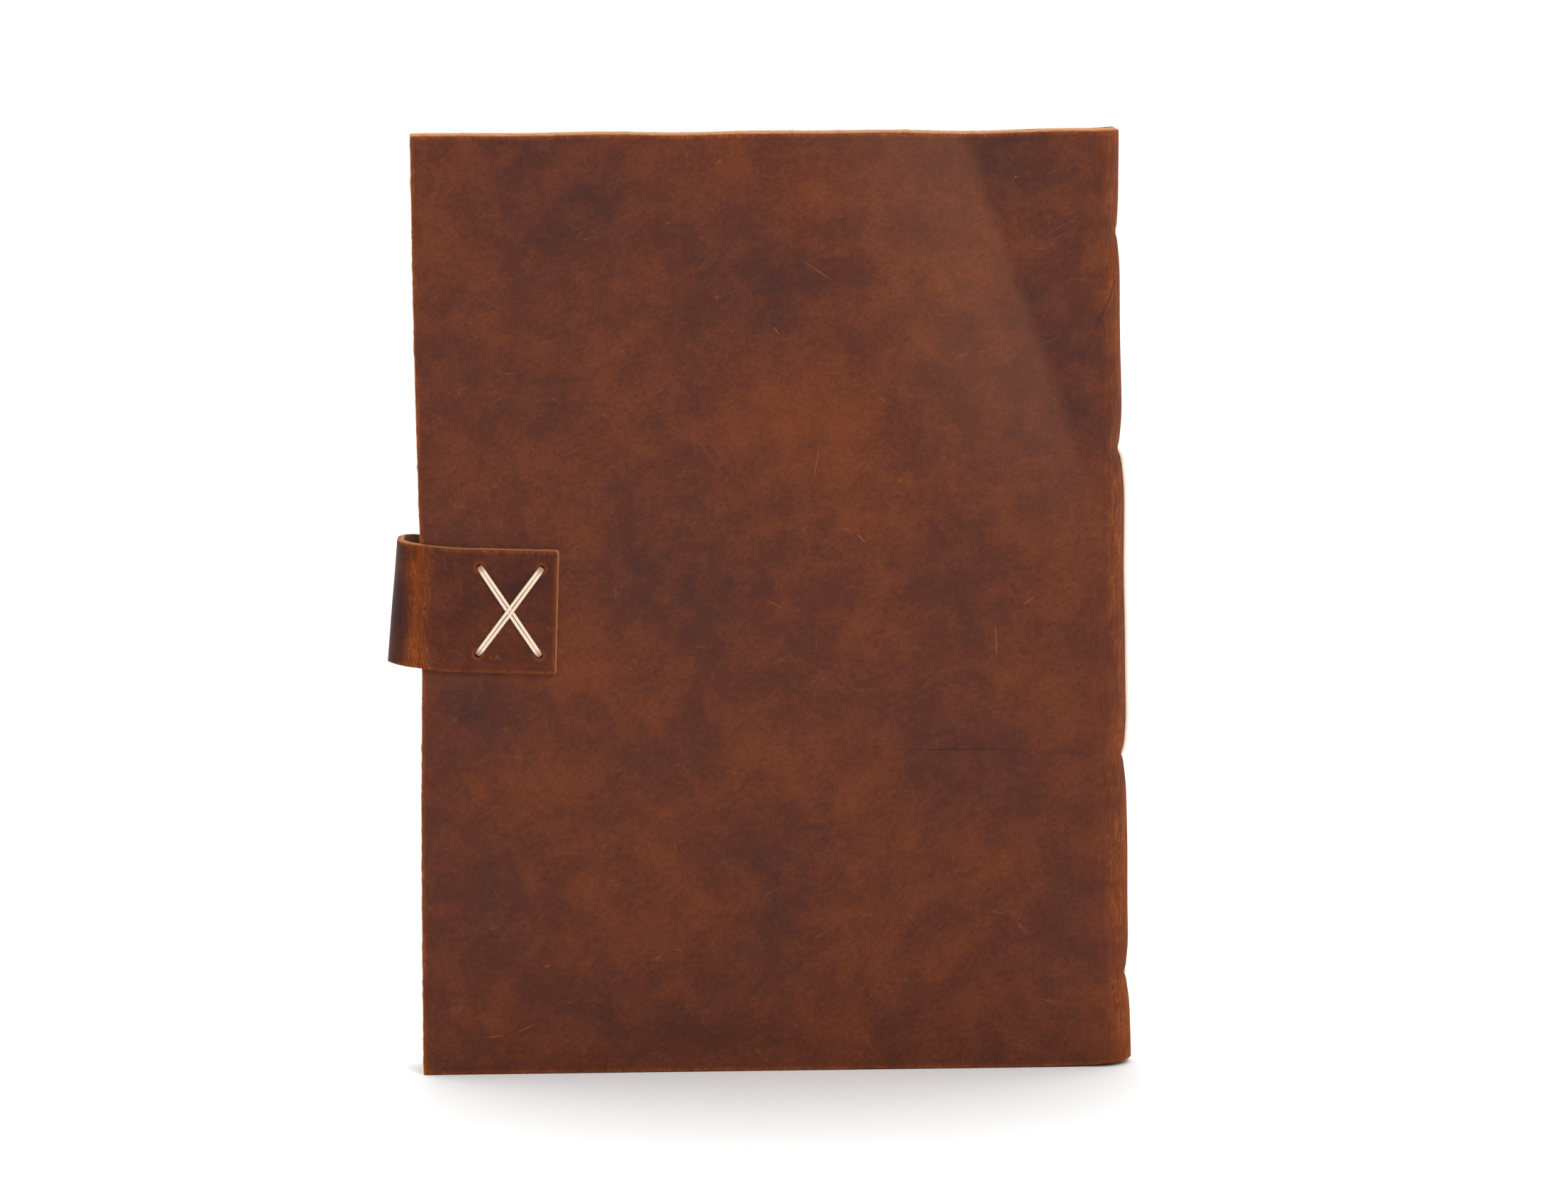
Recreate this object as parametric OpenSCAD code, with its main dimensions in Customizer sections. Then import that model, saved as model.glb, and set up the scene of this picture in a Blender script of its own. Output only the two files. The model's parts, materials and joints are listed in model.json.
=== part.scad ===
// Leather notebook cover: a soft one-piece cover, drawn as a spine, a back and a
// front, that is long-stitched round three paper signatures and held shut by a
// strap with a press snap. It stands on its foot edge: +Z up, the spine at +X,
// the back cover facing -Y and the front cover facing +Y. Millimetres.

/* [Cover] */
// Height of the cover
cover_h = 304.8; // [200:0.1:320]
// Width of the closed cover, from the fore-edge to the outside of the spine
cover_w = 229; // [150:0.5:240]
// Thickness of the leather
leather_t = 2.2; // [1.6:0.1:2.6]
// Outer radius of the rounded spine, half the closed thickness
spine_r = 11; // [10.5:0.1:13]
// Radius of the corners at the fore-edge
corner_r = 1.5; // [0.5:0.1:6]

/* [Paper] */
// Width of a folded leaf
page_w = 215.9; // [140:0.1:218]
// Height of a leaf
page_h = 279.4; // [180:0.1:290]
// Thickness of one folded signature
signature_t = 4.6; // [3:0.1:4.8]
// Distance between the middles of neighbouring signatures
signature_pitch = 4.9; // [4.9:0.1:5]

/* [Stitching] */
// Diameter of the waxed thread
thread_d = 1.05; // [0.6:0.05:1.1]
// Distance between neighbouring long stitches across the spine
stitch_pitch = 2.5; // [2:0.1:3]
// Height of the holes next to the head of the spine
station_head_z = 271.8; // [240:0.1:280]
// Height of the holes at the top of the long stitches
station_high_z = 201.8; // [160:0.1:230]
// Height of the holes at the foot of the long stitches
station_low_z = 101.8; // [70:0.1:150]
// Height of the holes next to the tail of the spine
station_tail_z = 29.8; // [20:0.1:60]

/* [Strap] */
// Width of the strap
strap_w = 40.3; // [25:0.1:60]
// Height of the middle of the strap where it is sewn down
strap_z = 151.9; // [80:0.1:220]
// Tilt of the strap, falling towards the spine, in degrees
strap_tilt = 2; // [0:0.5:4]
// How far the strap stands out past the fore-edge
loop_out = 8; // [7:0.1:14]
// Outer radius of the two bends of the strap
bend_r = 8; // [6:0.1:8]
// Distance from the fore-edge to the middle of the sewn cross
cross_in = 30.1; // [24:0.1:40]
// Width of the sewn cross, along the strap
cross_w = 19.9; // [12:0.1:24]
// Height of the sewn cross, across the strap
cross_h = 28.1; // [16:0.1:30]
// Length of strap past the middle of the cross
anchor_end = 15.5; // [14:0.1:40]
// Length of strap past the middle of the snap
tab_end = 17; // [12:0.5:40]

/* [Snap] */
// Distance from the fore-edge to the middle of the snap
snap_in = 27; // [20:0.5:60]
// Radius of the snap's cap
cap_r = 6.2; // [5:0.1:8]
// Gap between the strap and the front cover at the snap
snap_gap = 2.8; // [2.8:0.1:3.4]

/* [Hidden] */

leather_brown = [0.40, 0.22, 0.15];
strap_brown = [0.45, 0.26, 0.16];
thread_cream = [0.96, 0.91, 0.80];
paper_cream = [0.93, 0.90, 0.82];
brass = [0.62, 0.47, 0.25];
steel = [0.62, 0.62, 0.60];

round_fn = 96;
thread_sides = 8;
eps = 0.01;

// Where the closed cover lies along X and Y, so that the whole object is centred on the origin.
whole_w = thread_d + cover_w + loop_out;
spine_out_x = whole_w / 2 - thread_d;
fore_x = spine_out_x - cover_w;
spine_x = spine_out_x - spine_r;
spine_in_r = spine_r - leather_t;
cap_h = 1.6;
back_reach = spine_r + leather_t + 2 * thread_d + 0.05;
front_reach = spine_r + snap_gap + leather_t + cap_h;
mid_y = (back_reach - front_reach) / 2;

// The cover bends through a quarter turn at each side of the spine, and each quarter is split in half.
split_deg = 45;

// Signatures: fold tips stand clear inside the hollow of the spine.
fold_x = spine_x + 3.5;
page_z = (cover_h - page_h) / 2;
fold_r = signature_t / 2;
fold_gap = 0.4;
fold_channel_r = 0.62;
fold_thread_x = fold_x - fold_r - 0.2;
stations = [station_head_z, station_high_z, station_low_z, station_tail_z];
station_hole_r = 0.7;
stitch_clear = 0.06;
link_sink = 0.35;
stitch_inside = 1.2;
long_stitch_lift = 0.03;
long_stitch_turn = 0.7;
long_stitch_round = 0.25;
link_arc_r = spine_r + thread_d / 2 - link_sink;

// Strap, in its own frame: X along the strap, towards the spine, Y as the cover's, Z across the strap.
anchor_y = -spine_r;
strap_out_x = -cross_in - loop_out;
bend_x = strap_out_x + bend_r;
bend_in_r = bend_r - leather_t;
back_bend_y = anchor_y - leather_t + bend_r;
tab_y = spine_r + snap_gap;
front_bend_y = tab_y + leather_t - bend_r;
strap_corner_r = 1;

// Sewn cross: its doubled thread goes through four holes.
cross_hole_r = 1.25;
cross_corner = [cross_w / 2, cross_h / 2];
cross_angle = atan2(cross_h, cross_w);
strand_out_y = anchor_y - leather_t - thread_d / 2;
strand_in_y = -spine_in_r + thread_d / 2 + 0.02;
strand_side = thread_d / 2 + 0.02;
cross_hump = thread_d + 0.05;
hump_top = 1.9;
hump_ramp = 4.4;
strand_rim = 0.9;
strand_mouth = 0.35;
strand_turn = 0.5;
strand_sink = 0.6;
strand_tail = 4;
knot_r = 1.8;
knot_t = 1.1;

// Snap, along Y from the front cover's outer face.
snap_x = snap_in - cross_in;
stud_flange_t = 0.7;
stud_neck_h = 0.6;
stud_head_h = 0.8;
stud_flange_r = 6;
stud_neck_r = 2.2;
stud_head_r = 2.7;
rivet_r = 1.5;
rivet_hole_r = 1.55;
eyelet_r = 4.4;
eyelet_t = 0.6;
socket_base_t = 0.5;
socket_ring_h = 1.3;
socket_r = 6.3;
socket_in_r = 3.4;
spring_wire_r = 0.3;
spring_r = 3.04;
spring_lift = 0.35;
snap_taper = 0.4;
cap_rim_h = 0.5;

// Puts closed-cover coordinates into the object's frame.
module placed() {
    translate([0, mid_y, 0]) children();
}

// Puts the strap's own coordinates into the object's frame.
module on_strap() {
    placed()
        translate([fore_x + cross_in, 0, strap_z])
        rotate([0, strap_tilt, 0])
        children();
}

// A part turned about Y: its own Z points along +Y, from height y.
module along_y(y) {
    translate([0, y, 0]) rotate([-90, 0, 0]) children();
}

// Plan of a bent sheet between two radii, from angle a to angle b, less than 90 degrees apart.
module ring_sector(r_out, r_in, a, b) {
    reach = 2 * r_out;
    intersection() {
        difference() {
            circle(r = r_out, $fn = round_fn);
            circle(r = r_in, $fn = round_fn);
        }
        polygon([
            [0, 0],
            reach * [cos(a), sin(a)],
            reach * [cos((a + b) / 2), sin((a + b) / 2)],
            reach * [cos(b), sin(b)]
        ]);
    }
}

// What is cut off a square corner of a sheet in the XZ plane to round it; the corner points along way.
module corner_cutter(x, z, r, way) {
    translate([x, 0, z])
        rotate([90, 0, 0])
        linear_extrude(height = 100, center = true)
        difference() {
            square(2 * r, center = true);
            translate(-r * way) circle(r = r, $fn = 48);
        }
}

// Tube swept along route points: a ring of sides at each point, turned no more than the route turns.
function unit(v) = v / norm(v);
function heading(route, i) =
    let (last = len(route) - 1)
    unit(route[min(i + 1, last)] - route[max(i - 1, 0)]);
function square_to(v, d) = unit(v - (v * d) * d);
function ring_starts(route, start, i = 0) =
    i == len(route) ? [] :
    let (across = square_to(start, heading(route, i)))
    concat([across], ring_starts(route, across, i + 1));
function tube_ring(p, d, across, r) =
    let (other = cross(d, across))
    [for (k = [0:thread_sides - 1])
        let (a = 360 * (k + 0.5) / thread_sides)
        p + r * (cos(a) * across + sin(a) * other)];
module tube(route, r, start) {
    across = ring_starts(route, start);
    rings = [for (i = [0:len(route) - 1]) tube_ring(route[i], heading(route, i), across[i], r)];
    n = thread_sides;
    last = (len(route) - 1) * n;
    sides = [for (i = [0:len(route) - 2], k = [0:n - 1])
        [i * n + k, (i + 1) * n + k, (i + 1) * n + (k + 1) % n, i * n + (k + 1) % n]];
    ends = [[for (k = [0:n - 1]) k], [for (k = [n - 1:-1:0]) last + k]];
    polyhedron(points = [for (ring = rings, p = ring) p], faces = concat(sides, ends), convexity = 6);
}

// Y of signature k, and Y of its line of stitches outside the spine. Signature 1 is next to the front cover.
function signature_y(k) = (2 - k) * signature_pitch;
function stitch_y(k) = (2 - k) * stitch_pitch;

// ---- Cover ----

// One cover with half of its bend beside the spine. side is -1 at the back, 1 at the front.
module cover_half(side) {
    difference() {
        linear_extrude(height = cover_h)
            mirror([0, side < 0 ? 1 : 0]) {
                translate([fore_x, spine_in_r]) square([spine_x - fore_x, leather_t]);
                translate([spine_x, 0]) ring_sector(spine_r, spine_in_r, split_deg, 90);
            }
        corner_cutter(fore_x, 0, corner_r, [-1, -1]);
        corner_cutter(fore_x, cover_h, corner_r, [-1, 1]);
    }
}

module station_holes() {
    for (k = [1:3], z = stations)
        translate([spine_x + spine_in_r - 2, stitch_y(k), z])
        rotate([0, 90, 0])
        cylinder(r = station_hole_r, h = spine_r, $fn = 24);
}

module cover_spine() {
    color(leather_brown)
        placed()
        difference() {
            translate([spine_x, 0, 0])
                linear_extrude(height = cover_h)
                ring_sector(spine_r, spine_in_r, -split_deg, split_deg);
            station_holes();
            link_groove(1, station_head_z);
            link_groove(2, station_tail_z);
        }
}

module cover_back() {
    color(leather_brown)
        difference() {
            placed() cover_half(-1);
            on_strap() cross_holes();
        }
}

module cover_front() {
    color(leather_brown)
        difference() {
            placed() cover_half(1);
            on_strap()
                translate([snap_x, 0, 0])
                along_y(spine_in_r - 1)
                cylinder(r = rivet_hole_r, h = leather_t + 2, $fn = 48);
        }
}

// ---- Strap ----

// Plan of a flat end of the strap with half of the bend that it runs into.
module strap_end_plan(x_high, y_low, y_bend, a, b) {
    translate([bend_x, y_low]) square([x_high - bend_x, leather_t]);
    translate([bend_x, y_bend]) ring_sector(bend_r, bend_in_r, a, b);
}

// A plan across the strap's whole width, its corners rounded at x_high.
module strap_piece(x_high) {
    difference() {
        translate([0, 0, -strap_w / 2]) linear_extrude(height = strap_w) children();
        corner_cutter(x_high, -strap_w / 2, strap_corner_r, [1, -1]);
        corner_cutter(x_high, strap_w / 2, strap_corner_r, [1, 1]);
    }
}

module cross_holes() {
    for (sx = [-1, 1], sz = [-1, 1])
        translate([sx * cross_corner[0], 0, sz * cross_corner[1]])
        along_y(anchor_y - leather_t - 1)
        cylinder(r = cross_hole_r, h = 2 * leather_t + 2, $fn = 32);
}

module strap_anchor() {
    color(strap_brown)
        on_strap()
        difference() {
            strap_piece(anchor_end)
                strap_end_plan(anchor_end, anchor_y - leather_t, back_bend_y, 180 + split_deg, 270);
            cross_holes();
        }
}

module strap_bend() {
    color(strap_brown)
        on_strap()
        translate([0, 0, -strap_w / 2])
        linear_extrude(height = strap_w) {
            translate([bend_x, back_bend_y]) ring_sector(bend_r, bend_in_r, 180, 180 + split_deg);
            translate([strap_out_x, back_bend_y]) square([leather_t, front_bend_y - back_bend_y]);
            translate([bend_x, front_bend_y]) ring_sector(bend_r, bend_in_r, 180 - split_deg, 180);
        }
}

module strap_tab() {
    color(strap_brown)
        on_strap()
        difference() {
            strap_piece(snap_x + tab_end)
                strap_end_plan(snap_x + tab_end, tab_y, front_bend_y, 90, 180 - split_deg);
            translate([snap_x, 0, 0])
                along_y(tab_y - 1)
                cylinder(r = rivet_hole_r, h = leather_t + 2, $fn = 48);
        }
}

// ---- Sewn cross ----

// One strand, round the four holes: out, across, in, up, out, across, in, down.
function strand_points(s) =
    let (
        c = cross_corner,
        n = s * strand_side,
        a = cross_angle,
        down = n * [sin(a), 0, cos(a)],
        up = n * [sin(a), 0, -cos(a)],
        side = [n, 0, 0],
        rim = strand_rim * [cos(a), 0, -sin(a)],
        rim_up = strand_rim * [cos(a), 0, sin(a)],
        lift = [0, -cross_hump, 0],
        low = [0, strand_out_y, 0],
        mouth = [0, strand_out_y + strand_mouth, 0],
        inner = [0, strand_in_y, 0],
        neck = [0, strand_in_y - strand_sink, 0],
        turn = [0, 0, strand_turn],
        tail = [0, 0, strand_tail],
        tl = [-c[0], 0, c[1]],
        br = [c[0], 0, -c[1]],
        tr = [c[0], 0, c[1]],
        bl = [-c[0], 0, -c[1]],
        ramp = hump_ramp * [cos(a), 0, sin(a)],
        top = hump_top * [cos(a), 0, sin(a)]
    )
    [
        tl + side + inner - tail, tl + side + inner - turn,
        tl + down + neck, tl + down + mouth,
        tl + down + rim + low, br + down - rim + low,
        br + down + mouth, br + down + neck,
        br + side + inner + turn, tr + side + inner - turn,
        tr + up + neck, tr + up + mouth,
        tr + up - rim_up + low, up + ramp + low,
        up + top + low + lift, up - top + low + lift,
        up - ramp + low, bl + up + rim_up + low,
        bl + up + mouth, bl + up + neck,
        bl + side + inner + turn, bl + side + inner + tail
    ];

module cross_stitch() {
    color(thread_cream)
        on_strap()
        for (s = [-1, 1])
            tube(strand_points(s), thread_d / 2, [1, 0, 0]);
}

// The knot lies flat inside the back cover, between the two ends of the thread.
module cross_stitch_knot() {
    color(thread_cream)
        on_strap()
        translate([-cross_corner[0], 0, 0])
        along_y(-spine_in_r)
        rotate_extrude($fn = 48)
        polygon([
            [0, 0], [knot_r - 0.6, 0], [knot_r, 0.35],
            [knot_r, knot_t - 0.35], [knot_r - 0.5, knot_t], [0, knot_t]
        ]);
}

// ---- Stitches of the spine ----

// Turn about the spine's middle that puts a point at the line of stitches k.
function line_deg(k, r) = asin(stitch_y(k) / r);

// Shallow groove in the outside of the spine that a link from line k to line k + 1 sinks into.
module link_groove(k, z) {
    translate([spine_x, 0, z - thread_d / 2 - stitch_clear])
        linear_extrude(height = thread_d + 2 * stitch_clear)
        ring_sector(
            spine_r + 1,
            link_arc_r - thread_d / 2 - stitch_clear,
            line_deg(k + 1, spine_r),
            line_deg(k, spine_r)
        );
}

// A link: out of line k's hole, round the outside of the spine and in at the next line's hole.
function link_points(k, z) =
    let (
        a = line_deg(k, link_arc_r),
        b = line_deg(k + 1, link_arc_r),
        trim = 1.6,
        inside = spine_x + spine_in_r - stitch_inside,
        under = spine_x + link_arc_r - 0.75,
        steps = 4
    )
    concat(
        [[inside, stitch_y(k), z], [under, stitch_y(k), z]],
        [for (i = [0:steps])
            let (turn = a - trim + (b - a + 2 * trim) * i / steps)
            [spine_x + link_arc_r * cos(turn), link_arc_r * sin(turn), z]],
        [[under, stitch_y(k + 1), z], [inside, stitch_y(k + 1), z]]
    );

module link_stitch(k, z) {
    color(thread_cream) placed() tube(link_points(k, z), thread_d / 2, [0, 0, 1]);
}

module link_stitch_head() link_stitch(1, station_head_z);
module link_stitch_tail() link_stitch(2, station_tail_z);

// A long stitch: out of its high hole, down the outside of the spine and in at its low hole.
function long_stitch_points(k) =
    let (
        y = stitch_y(k),
        out_x = spine_x + sqrt(pow(spine_r + thread_d / 2 + long_stitch_lift, 2) - pow(y, 2)),
        in_x = spine_x + spine_in_r - stitch_inside,
        round_x = out_x - 0.2,
        hole_x = round_x - thread_d / 2
    )
    [
        [in_x, y, station_high_z],
        [hole_x, y, station_high_z],
        [round_x, y, station_high_z - long_stitch_round],
        [out_x, y, station_high_z - long_stitch_turn],
        [out_x, y, station_low_z + long_stitch_turn],
        [round_x, y, station_low_z + long_stitch_round],
        [hole_x, y, station_low_z],
        [in_x, y, station_low_z]
    ];

module long_stitch(k) {
    color(thread_cream) placed() tube(long_stitch_points(k), thread_d / 2, [0, 1, 0]);
}

module long_stitch_1() long_stitch(1);
module long_stitch_2() long_stitch(2);
module long_stitch_3() long_stitch(3);

// ---- Signatures ----

// Plan of a folded signature: a round fold, the gap between its two halves and the thread's channel.
module signature_plan() {
    difference() {
        union() {
            translate([fold_x - fold_r, 0]) circle(r = fold_r, $fn = 64);
            translate([fold_x - page_w, -fold_r]) square([page_w - fold_r, signature_t]);
        }
        translate([fold_x - page_w - 1, -fold_gap / 2])
            square([page_w + 1 - (fold_x - fold_thread_x), fold_gap]);
        translate([fold_thread_x, 0]) circle(r = fold_channel_r, $fn = 32);
    }
}

module signature(k) {
    color(paper_cream)
        placed()
        translate([0, signature_y(k), page_z])
        linear_extrude(height = page_h)
        signature_plan();
}

module signature_1() signature(1);
module signature_2() signature(2);
module signature_3() signature(3);

// Inside runs of the sewing thread, from head to high station and from low to tail station.
module fold_thread(k) {
    color(thread_cream)
        placed()
        for (run = [[station_high_z, station_head_z], [station_tail_z, station_low_z]])
            translate([fold_thread_x, signature_y(k), run[0]])
            cylinder(r = thread_d / 2, h = run[1] - run[0], $fn = 24);
}

module fold_thread_1() fold_thread(1);
module fold_thread_2() fold_thread(2);
module fold_thread_3() fold_thread(3);

// ---- Press snap ----

module snap_stud() {
    color(brass)
        on_strap()
        translate([snap_x, 0, 0])
        along_y(spine_r) {
            cylinder(r = stud_flange_r, h = stud_flange_t, $fn = 96);
            translate([0, 0, -leather_t])
                cylinder(r = rivet_r, h = leather_t + eps, $fn = 48);
            cylinder(r = stud_neck_r, h = stud_flange_t + stud_neck_h, $fn = 48);
            translate([0, 0, stud_flange_t + stud_neck_h])
                cylinder(r1 = stud_head_r, r2 = stud_head_r - snap_taper, h = stud_head_h, $fn = 64);
        }
}

module snap_eyelet() {
    color(brass)
        on_strap()
        translate([snap_x, 0, 0])
        along_y(spine_in_r - eyelet_t)
        cylinder(r1 = eyelet_r - snap_taper, r2 = eyelet_r, h = eyelet_t, $fn = 64);
}

module snap_socket() {
    color(brass)
        on_strap()
        translate([snap_x, 0, 0])
        along_y(tab_y - socket_base_t - socket_ring_h)
        difference() {
            cylinder(r = socket_r, h = socket_base_t + socket_ring_h, $fn = 96);
            translate([0, 0, -1]) cylinder(r = socket_in_r, h = socket_ring_h + 1, $fn = 64);
        }
}

// The spring ring is open at one side, so that it can widen over the stud's head.
module snap_spring() {
    color(steel)
        on_strap()
        translate([snap_x, 0, 0])
        along_y(tab_y - socket_base_t - socket_ring_h + spring_lift)
        rotate_extrude(angle = 330, $fn = 64)
        translate([spring_r, 0])
        circle(r = spring_wire_r, $fn = 16);
}

module snap_cap() {
    color(brass)
        on_strap()
        translate([snap_x, 0, 0]) {
            along_y(tab_y)
                cylinder(r = rivet_r, h = leather_t + cap_rim_h / 2, $fn = 48);
            along_y(tab_y + leather_t)
                rotate_extrude($fn = 96)
                intersection() {
                    translate([0, -2 * cap_r]) square([cap_r, 2 * cap_r + cap_h]);
                    square([cap_r, cap_h]);
                    translate([0, cap_h - cap_dome_r()]) circle(r = cap_dome_r(), $fn = 256);
                }
        }
}

// Radius of the cap's dome, whose rim stands off the strap.
function cap_dome_r() =
    let (rise = cap_h - cap_rim_h)
    (pow(cap_r, 2) + pow(rise, 2)) / (2 * rise);

cover_spine();
cover_back();
cover_front();
strap_anchor();
strap_bend();
strap_tab();
cross_stitch();
cross_stitch_knot();
long_stitch_1();
long_stitch_2();
long_stitch_3();
link_stitch_head();
link_stitch_tail();
signature_1();
signature_2();
signature_3();
fold_thread_1();
fold_thread_2();
fold_thread_3();
snap_stud();
snap_eyelet();
snap_cap();
snap_socket();
snap_spring();
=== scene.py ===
"""Looks of the leather notebook cover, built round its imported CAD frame.

The leather, the thread, the paper and the snap are made in mesh code in millimetres and turned
into metres when a mesh is built. Leather is drawn flat, as (u, v) on the grain side, and a place
function bends that flat sheet into the closed cover or the strap.
"""

import json
import math
import random
from functools import reduce

import bpy
import numpy as np
from mathutils import Matrix, Vector


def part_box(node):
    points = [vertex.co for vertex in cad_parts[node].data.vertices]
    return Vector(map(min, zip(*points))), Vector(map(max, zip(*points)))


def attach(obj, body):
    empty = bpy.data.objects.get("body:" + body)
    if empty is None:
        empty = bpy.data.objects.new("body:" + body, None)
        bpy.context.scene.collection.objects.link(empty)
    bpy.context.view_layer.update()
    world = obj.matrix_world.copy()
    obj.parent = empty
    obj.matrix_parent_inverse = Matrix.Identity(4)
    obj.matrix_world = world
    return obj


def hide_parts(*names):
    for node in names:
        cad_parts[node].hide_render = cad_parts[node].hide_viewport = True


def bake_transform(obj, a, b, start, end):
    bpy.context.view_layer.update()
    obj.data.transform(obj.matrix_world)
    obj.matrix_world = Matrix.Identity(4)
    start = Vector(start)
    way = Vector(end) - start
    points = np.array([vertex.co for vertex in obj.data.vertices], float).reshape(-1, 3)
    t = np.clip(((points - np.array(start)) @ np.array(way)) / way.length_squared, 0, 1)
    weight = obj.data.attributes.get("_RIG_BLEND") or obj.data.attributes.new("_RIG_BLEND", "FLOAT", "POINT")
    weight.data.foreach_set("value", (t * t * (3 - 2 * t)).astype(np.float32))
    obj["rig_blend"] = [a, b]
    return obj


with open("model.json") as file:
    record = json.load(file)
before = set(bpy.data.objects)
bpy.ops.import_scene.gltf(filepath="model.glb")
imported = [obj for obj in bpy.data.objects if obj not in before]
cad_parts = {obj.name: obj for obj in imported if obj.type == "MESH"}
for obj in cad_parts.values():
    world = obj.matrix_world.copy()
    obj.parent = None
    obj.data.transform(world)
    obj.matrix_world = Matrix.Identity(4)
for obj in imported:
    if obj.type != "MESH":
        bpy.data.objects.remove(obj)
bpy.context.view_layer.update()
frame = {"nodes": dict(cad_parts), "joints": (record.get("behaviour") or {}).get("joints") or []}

MM = 0.001

# ---- sizes in mm, from the frame where it gives them


def box_mm(node):
    low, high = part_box(node)
    return np.array(low) / MM, np.array(high) / MM


def joint(name):
    return next(j for j in frame["joints"] if j["name"] == name)


LEATHER = 2.2
STRAP_W = 40.3
THREAD = 1.05

BACK_LOW, BACK_HIGH = box_mm("cover_back")
FRONT_HIGH = box_mm("cover_front")[1]
HEIGHT = BACK_HIGH[2]
FORE_X = BACK_LOW[0]
MID_Y = (BACK_LOW[1] + FRONT_HIGH[1]) / 2
SPINE_R = (FRONT_HIGH[1] - BACK_LOW[1]) / 2
SPINE_X = box_mm("cover_spine")[1][0] - SPINE_R
PANEL = SPINE_X - FORE_X
BEND_RUN = math.pi / 2 * SPINE_R
COVER_LENGTH = 2 * PANEL + 2 * BEND_RUN
MID_U = COVER_LENGTH / 2

# the sewing stations' heights, and how far each draws the spine in
STATIONS = (271.8, 201.8, 101.8, 29.8)
PINCHES = tuple(zip(STATIONS, (0.7, 1.1, 1.0, 1.1)))
STITCH_PITCH = 2.5

# a soft ridge runs down from the head to the spine on the back cover
RIDGE = (179.5, 300.0)
RIDGE_WAY = (0.9424, 0.3345)

# The strap's own frame: its origin is the first bend's joint, X runs along the strap to the spine.
TILT = math.atan2(joint("strap_unroll")["axis"][0], joint("strap_unroll")["axis"][2])
PIVOT = np.array(joint("strap_unroll")["pos_m"]) / MM
PIVOT_2 = np.array(joint("strap_tab_lift")["pos_m"]) / MM
ALONG = np.array((math.cos(TILT), 0, -math.sin(TILT)))
ACROSS = np.array((math.sin(TILT), 0, math.cos(TILT)))
STRAP_R = 8.0
PIVOT_GAP = 0.15
BEND_IN = (STRAP_R + PIVOT_GAP) * math.sqrt(0.5)
LOOP_X = BEND_IN - STRAP_R
BACK_BEND_Y = BEND_IN
FRONT_BEND_Y = PIVOT_2[1] - PIVOT[1] - BEND_IN
OUTER_Y = BACK_BEND_Y - STRAP_R
INNER_Y = OUTER_Y + 2 * LEATHER
STRAP_BEND_RUN = math.pi / 2 * STRAP_R
LOOP_RUN = FRONT_BEND_Y - BACK_BEND_Y
CROSS_X, CROSS_W, CROSS_H = 35.863, 19.9, 28.1
ANCHOR_END = CROSS_X + 15.5
SNAP_X = CROSS_X - 3.1
TAB_END = SNAP_X + 17
ANCHOR_RUN = ANCHOR_END - BEND_IN
TAB_RUN = TAB_END - BEND_IN
STRAP_LENGTH = ANCHOR_RUN + 2 * STRAP_BEND_RUN + LOOP_RUN + TAB_RUN
STRAP_MID_U = ANCHOR_RUN + STRAP_BEND_RUN + LOOP_RUN / 2
CROSS_SIDES = [(sx, sz) for sx in (-1, 1) for sz in (-1, 1)]
HOLES = [(ANCHOR_END - CROSS_X - sx * CROSS_W / 2, sz * CROSS_H / 2) for sx, sz in CROSS_SIDES]

# ---- small tools


def smooth(t):
    t = np.clip(t, 0.0, 1.0)
    return t * t * (3 - 2 * t)


def bump(x, middle, half_width):
    """1 at the middle, falling to 0 in a bell."""
    return np.exp(-(((x - middle) / half_width) ** 2))


def ripple(s, seed, wavelengths, amplitude):
    """A smooth irregular wave along s, the same for the same seed."""
    rng = random.Random(seed)
    total = np.zeros_like(np.asarray(s, float))
    for wavelength in wavelengths:
        total = total + np.sin(2 * math.pi * (np.asarray(s) / wavelength + rng.random()))
    return amplitude * total / len(wavelengths)


FINE_ENDS = (0.0, 0.3, 0.7, 1.3, 2.2)


def graded(low, high, step, fine_low=True, fine_high=True):
    """Grid lines from low to high, closer together next to the ends."""
    start = [low + e for e in FINE_ENDS] if fine_low else [low]
    end = [high - e for e in reversed(FINE_ENDS)] if fine_high else [high]
    count = max(2, round((end[0] - start[-1]) / step))
    middle = np.linspace(start[-1], end[0], count + 1)[1:-1]
    return np.array(start + list(middle) + end)


def add_object(name, data):
    obj = bpy.data.objects.new(name, data)
    bpy.context.scene.collection.objects.link(obj)
    return obj


def new_object(name, points_mm, faces, materials, face_material=None, **attributes):
    """A smooth mesh. Each attribute is a value or a vector for every point."""
    mesh = bpy.data.meshes.new(name)
    points = np.asarray(points_mm, float) * MM
    mesh.from_pydata(points.tolist(), [], faces)
    for material in materials:
        mesh.materials.append(material)
    if face_material is not None:
        mesh.polygons.foreach_set("material_index", np.asarray(face_material, np.int32))
    mesh.polygons.foreach_set("use_smooth", np.ones(len(mesh.polygons), bool))
    mesh.update()
    for key, values in attributes.items():
        values = np.asarray(values, np.float32)
        kind, field = ("FLOAT_VECTOR", "vector") if values.ndim == 2 else ("FLOAT", "value")
        mesh.attributes.new(key, kind, "POINT").data.foreach_set(field, values.ravel())
    return add_object(name, mesh)


def crisp_by_angle(obj, degrees):
    """Edges sharper than the angle stay crisp under smooth shading."""
    bpy.context.view_layer.objects.active = obj
    obj.select_set(True)
    bpy.ops.object.shade_smooth_by_angle(angle=math.radians(degrees))
    obj.select_set(False)


# ---- shader tools


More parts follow.
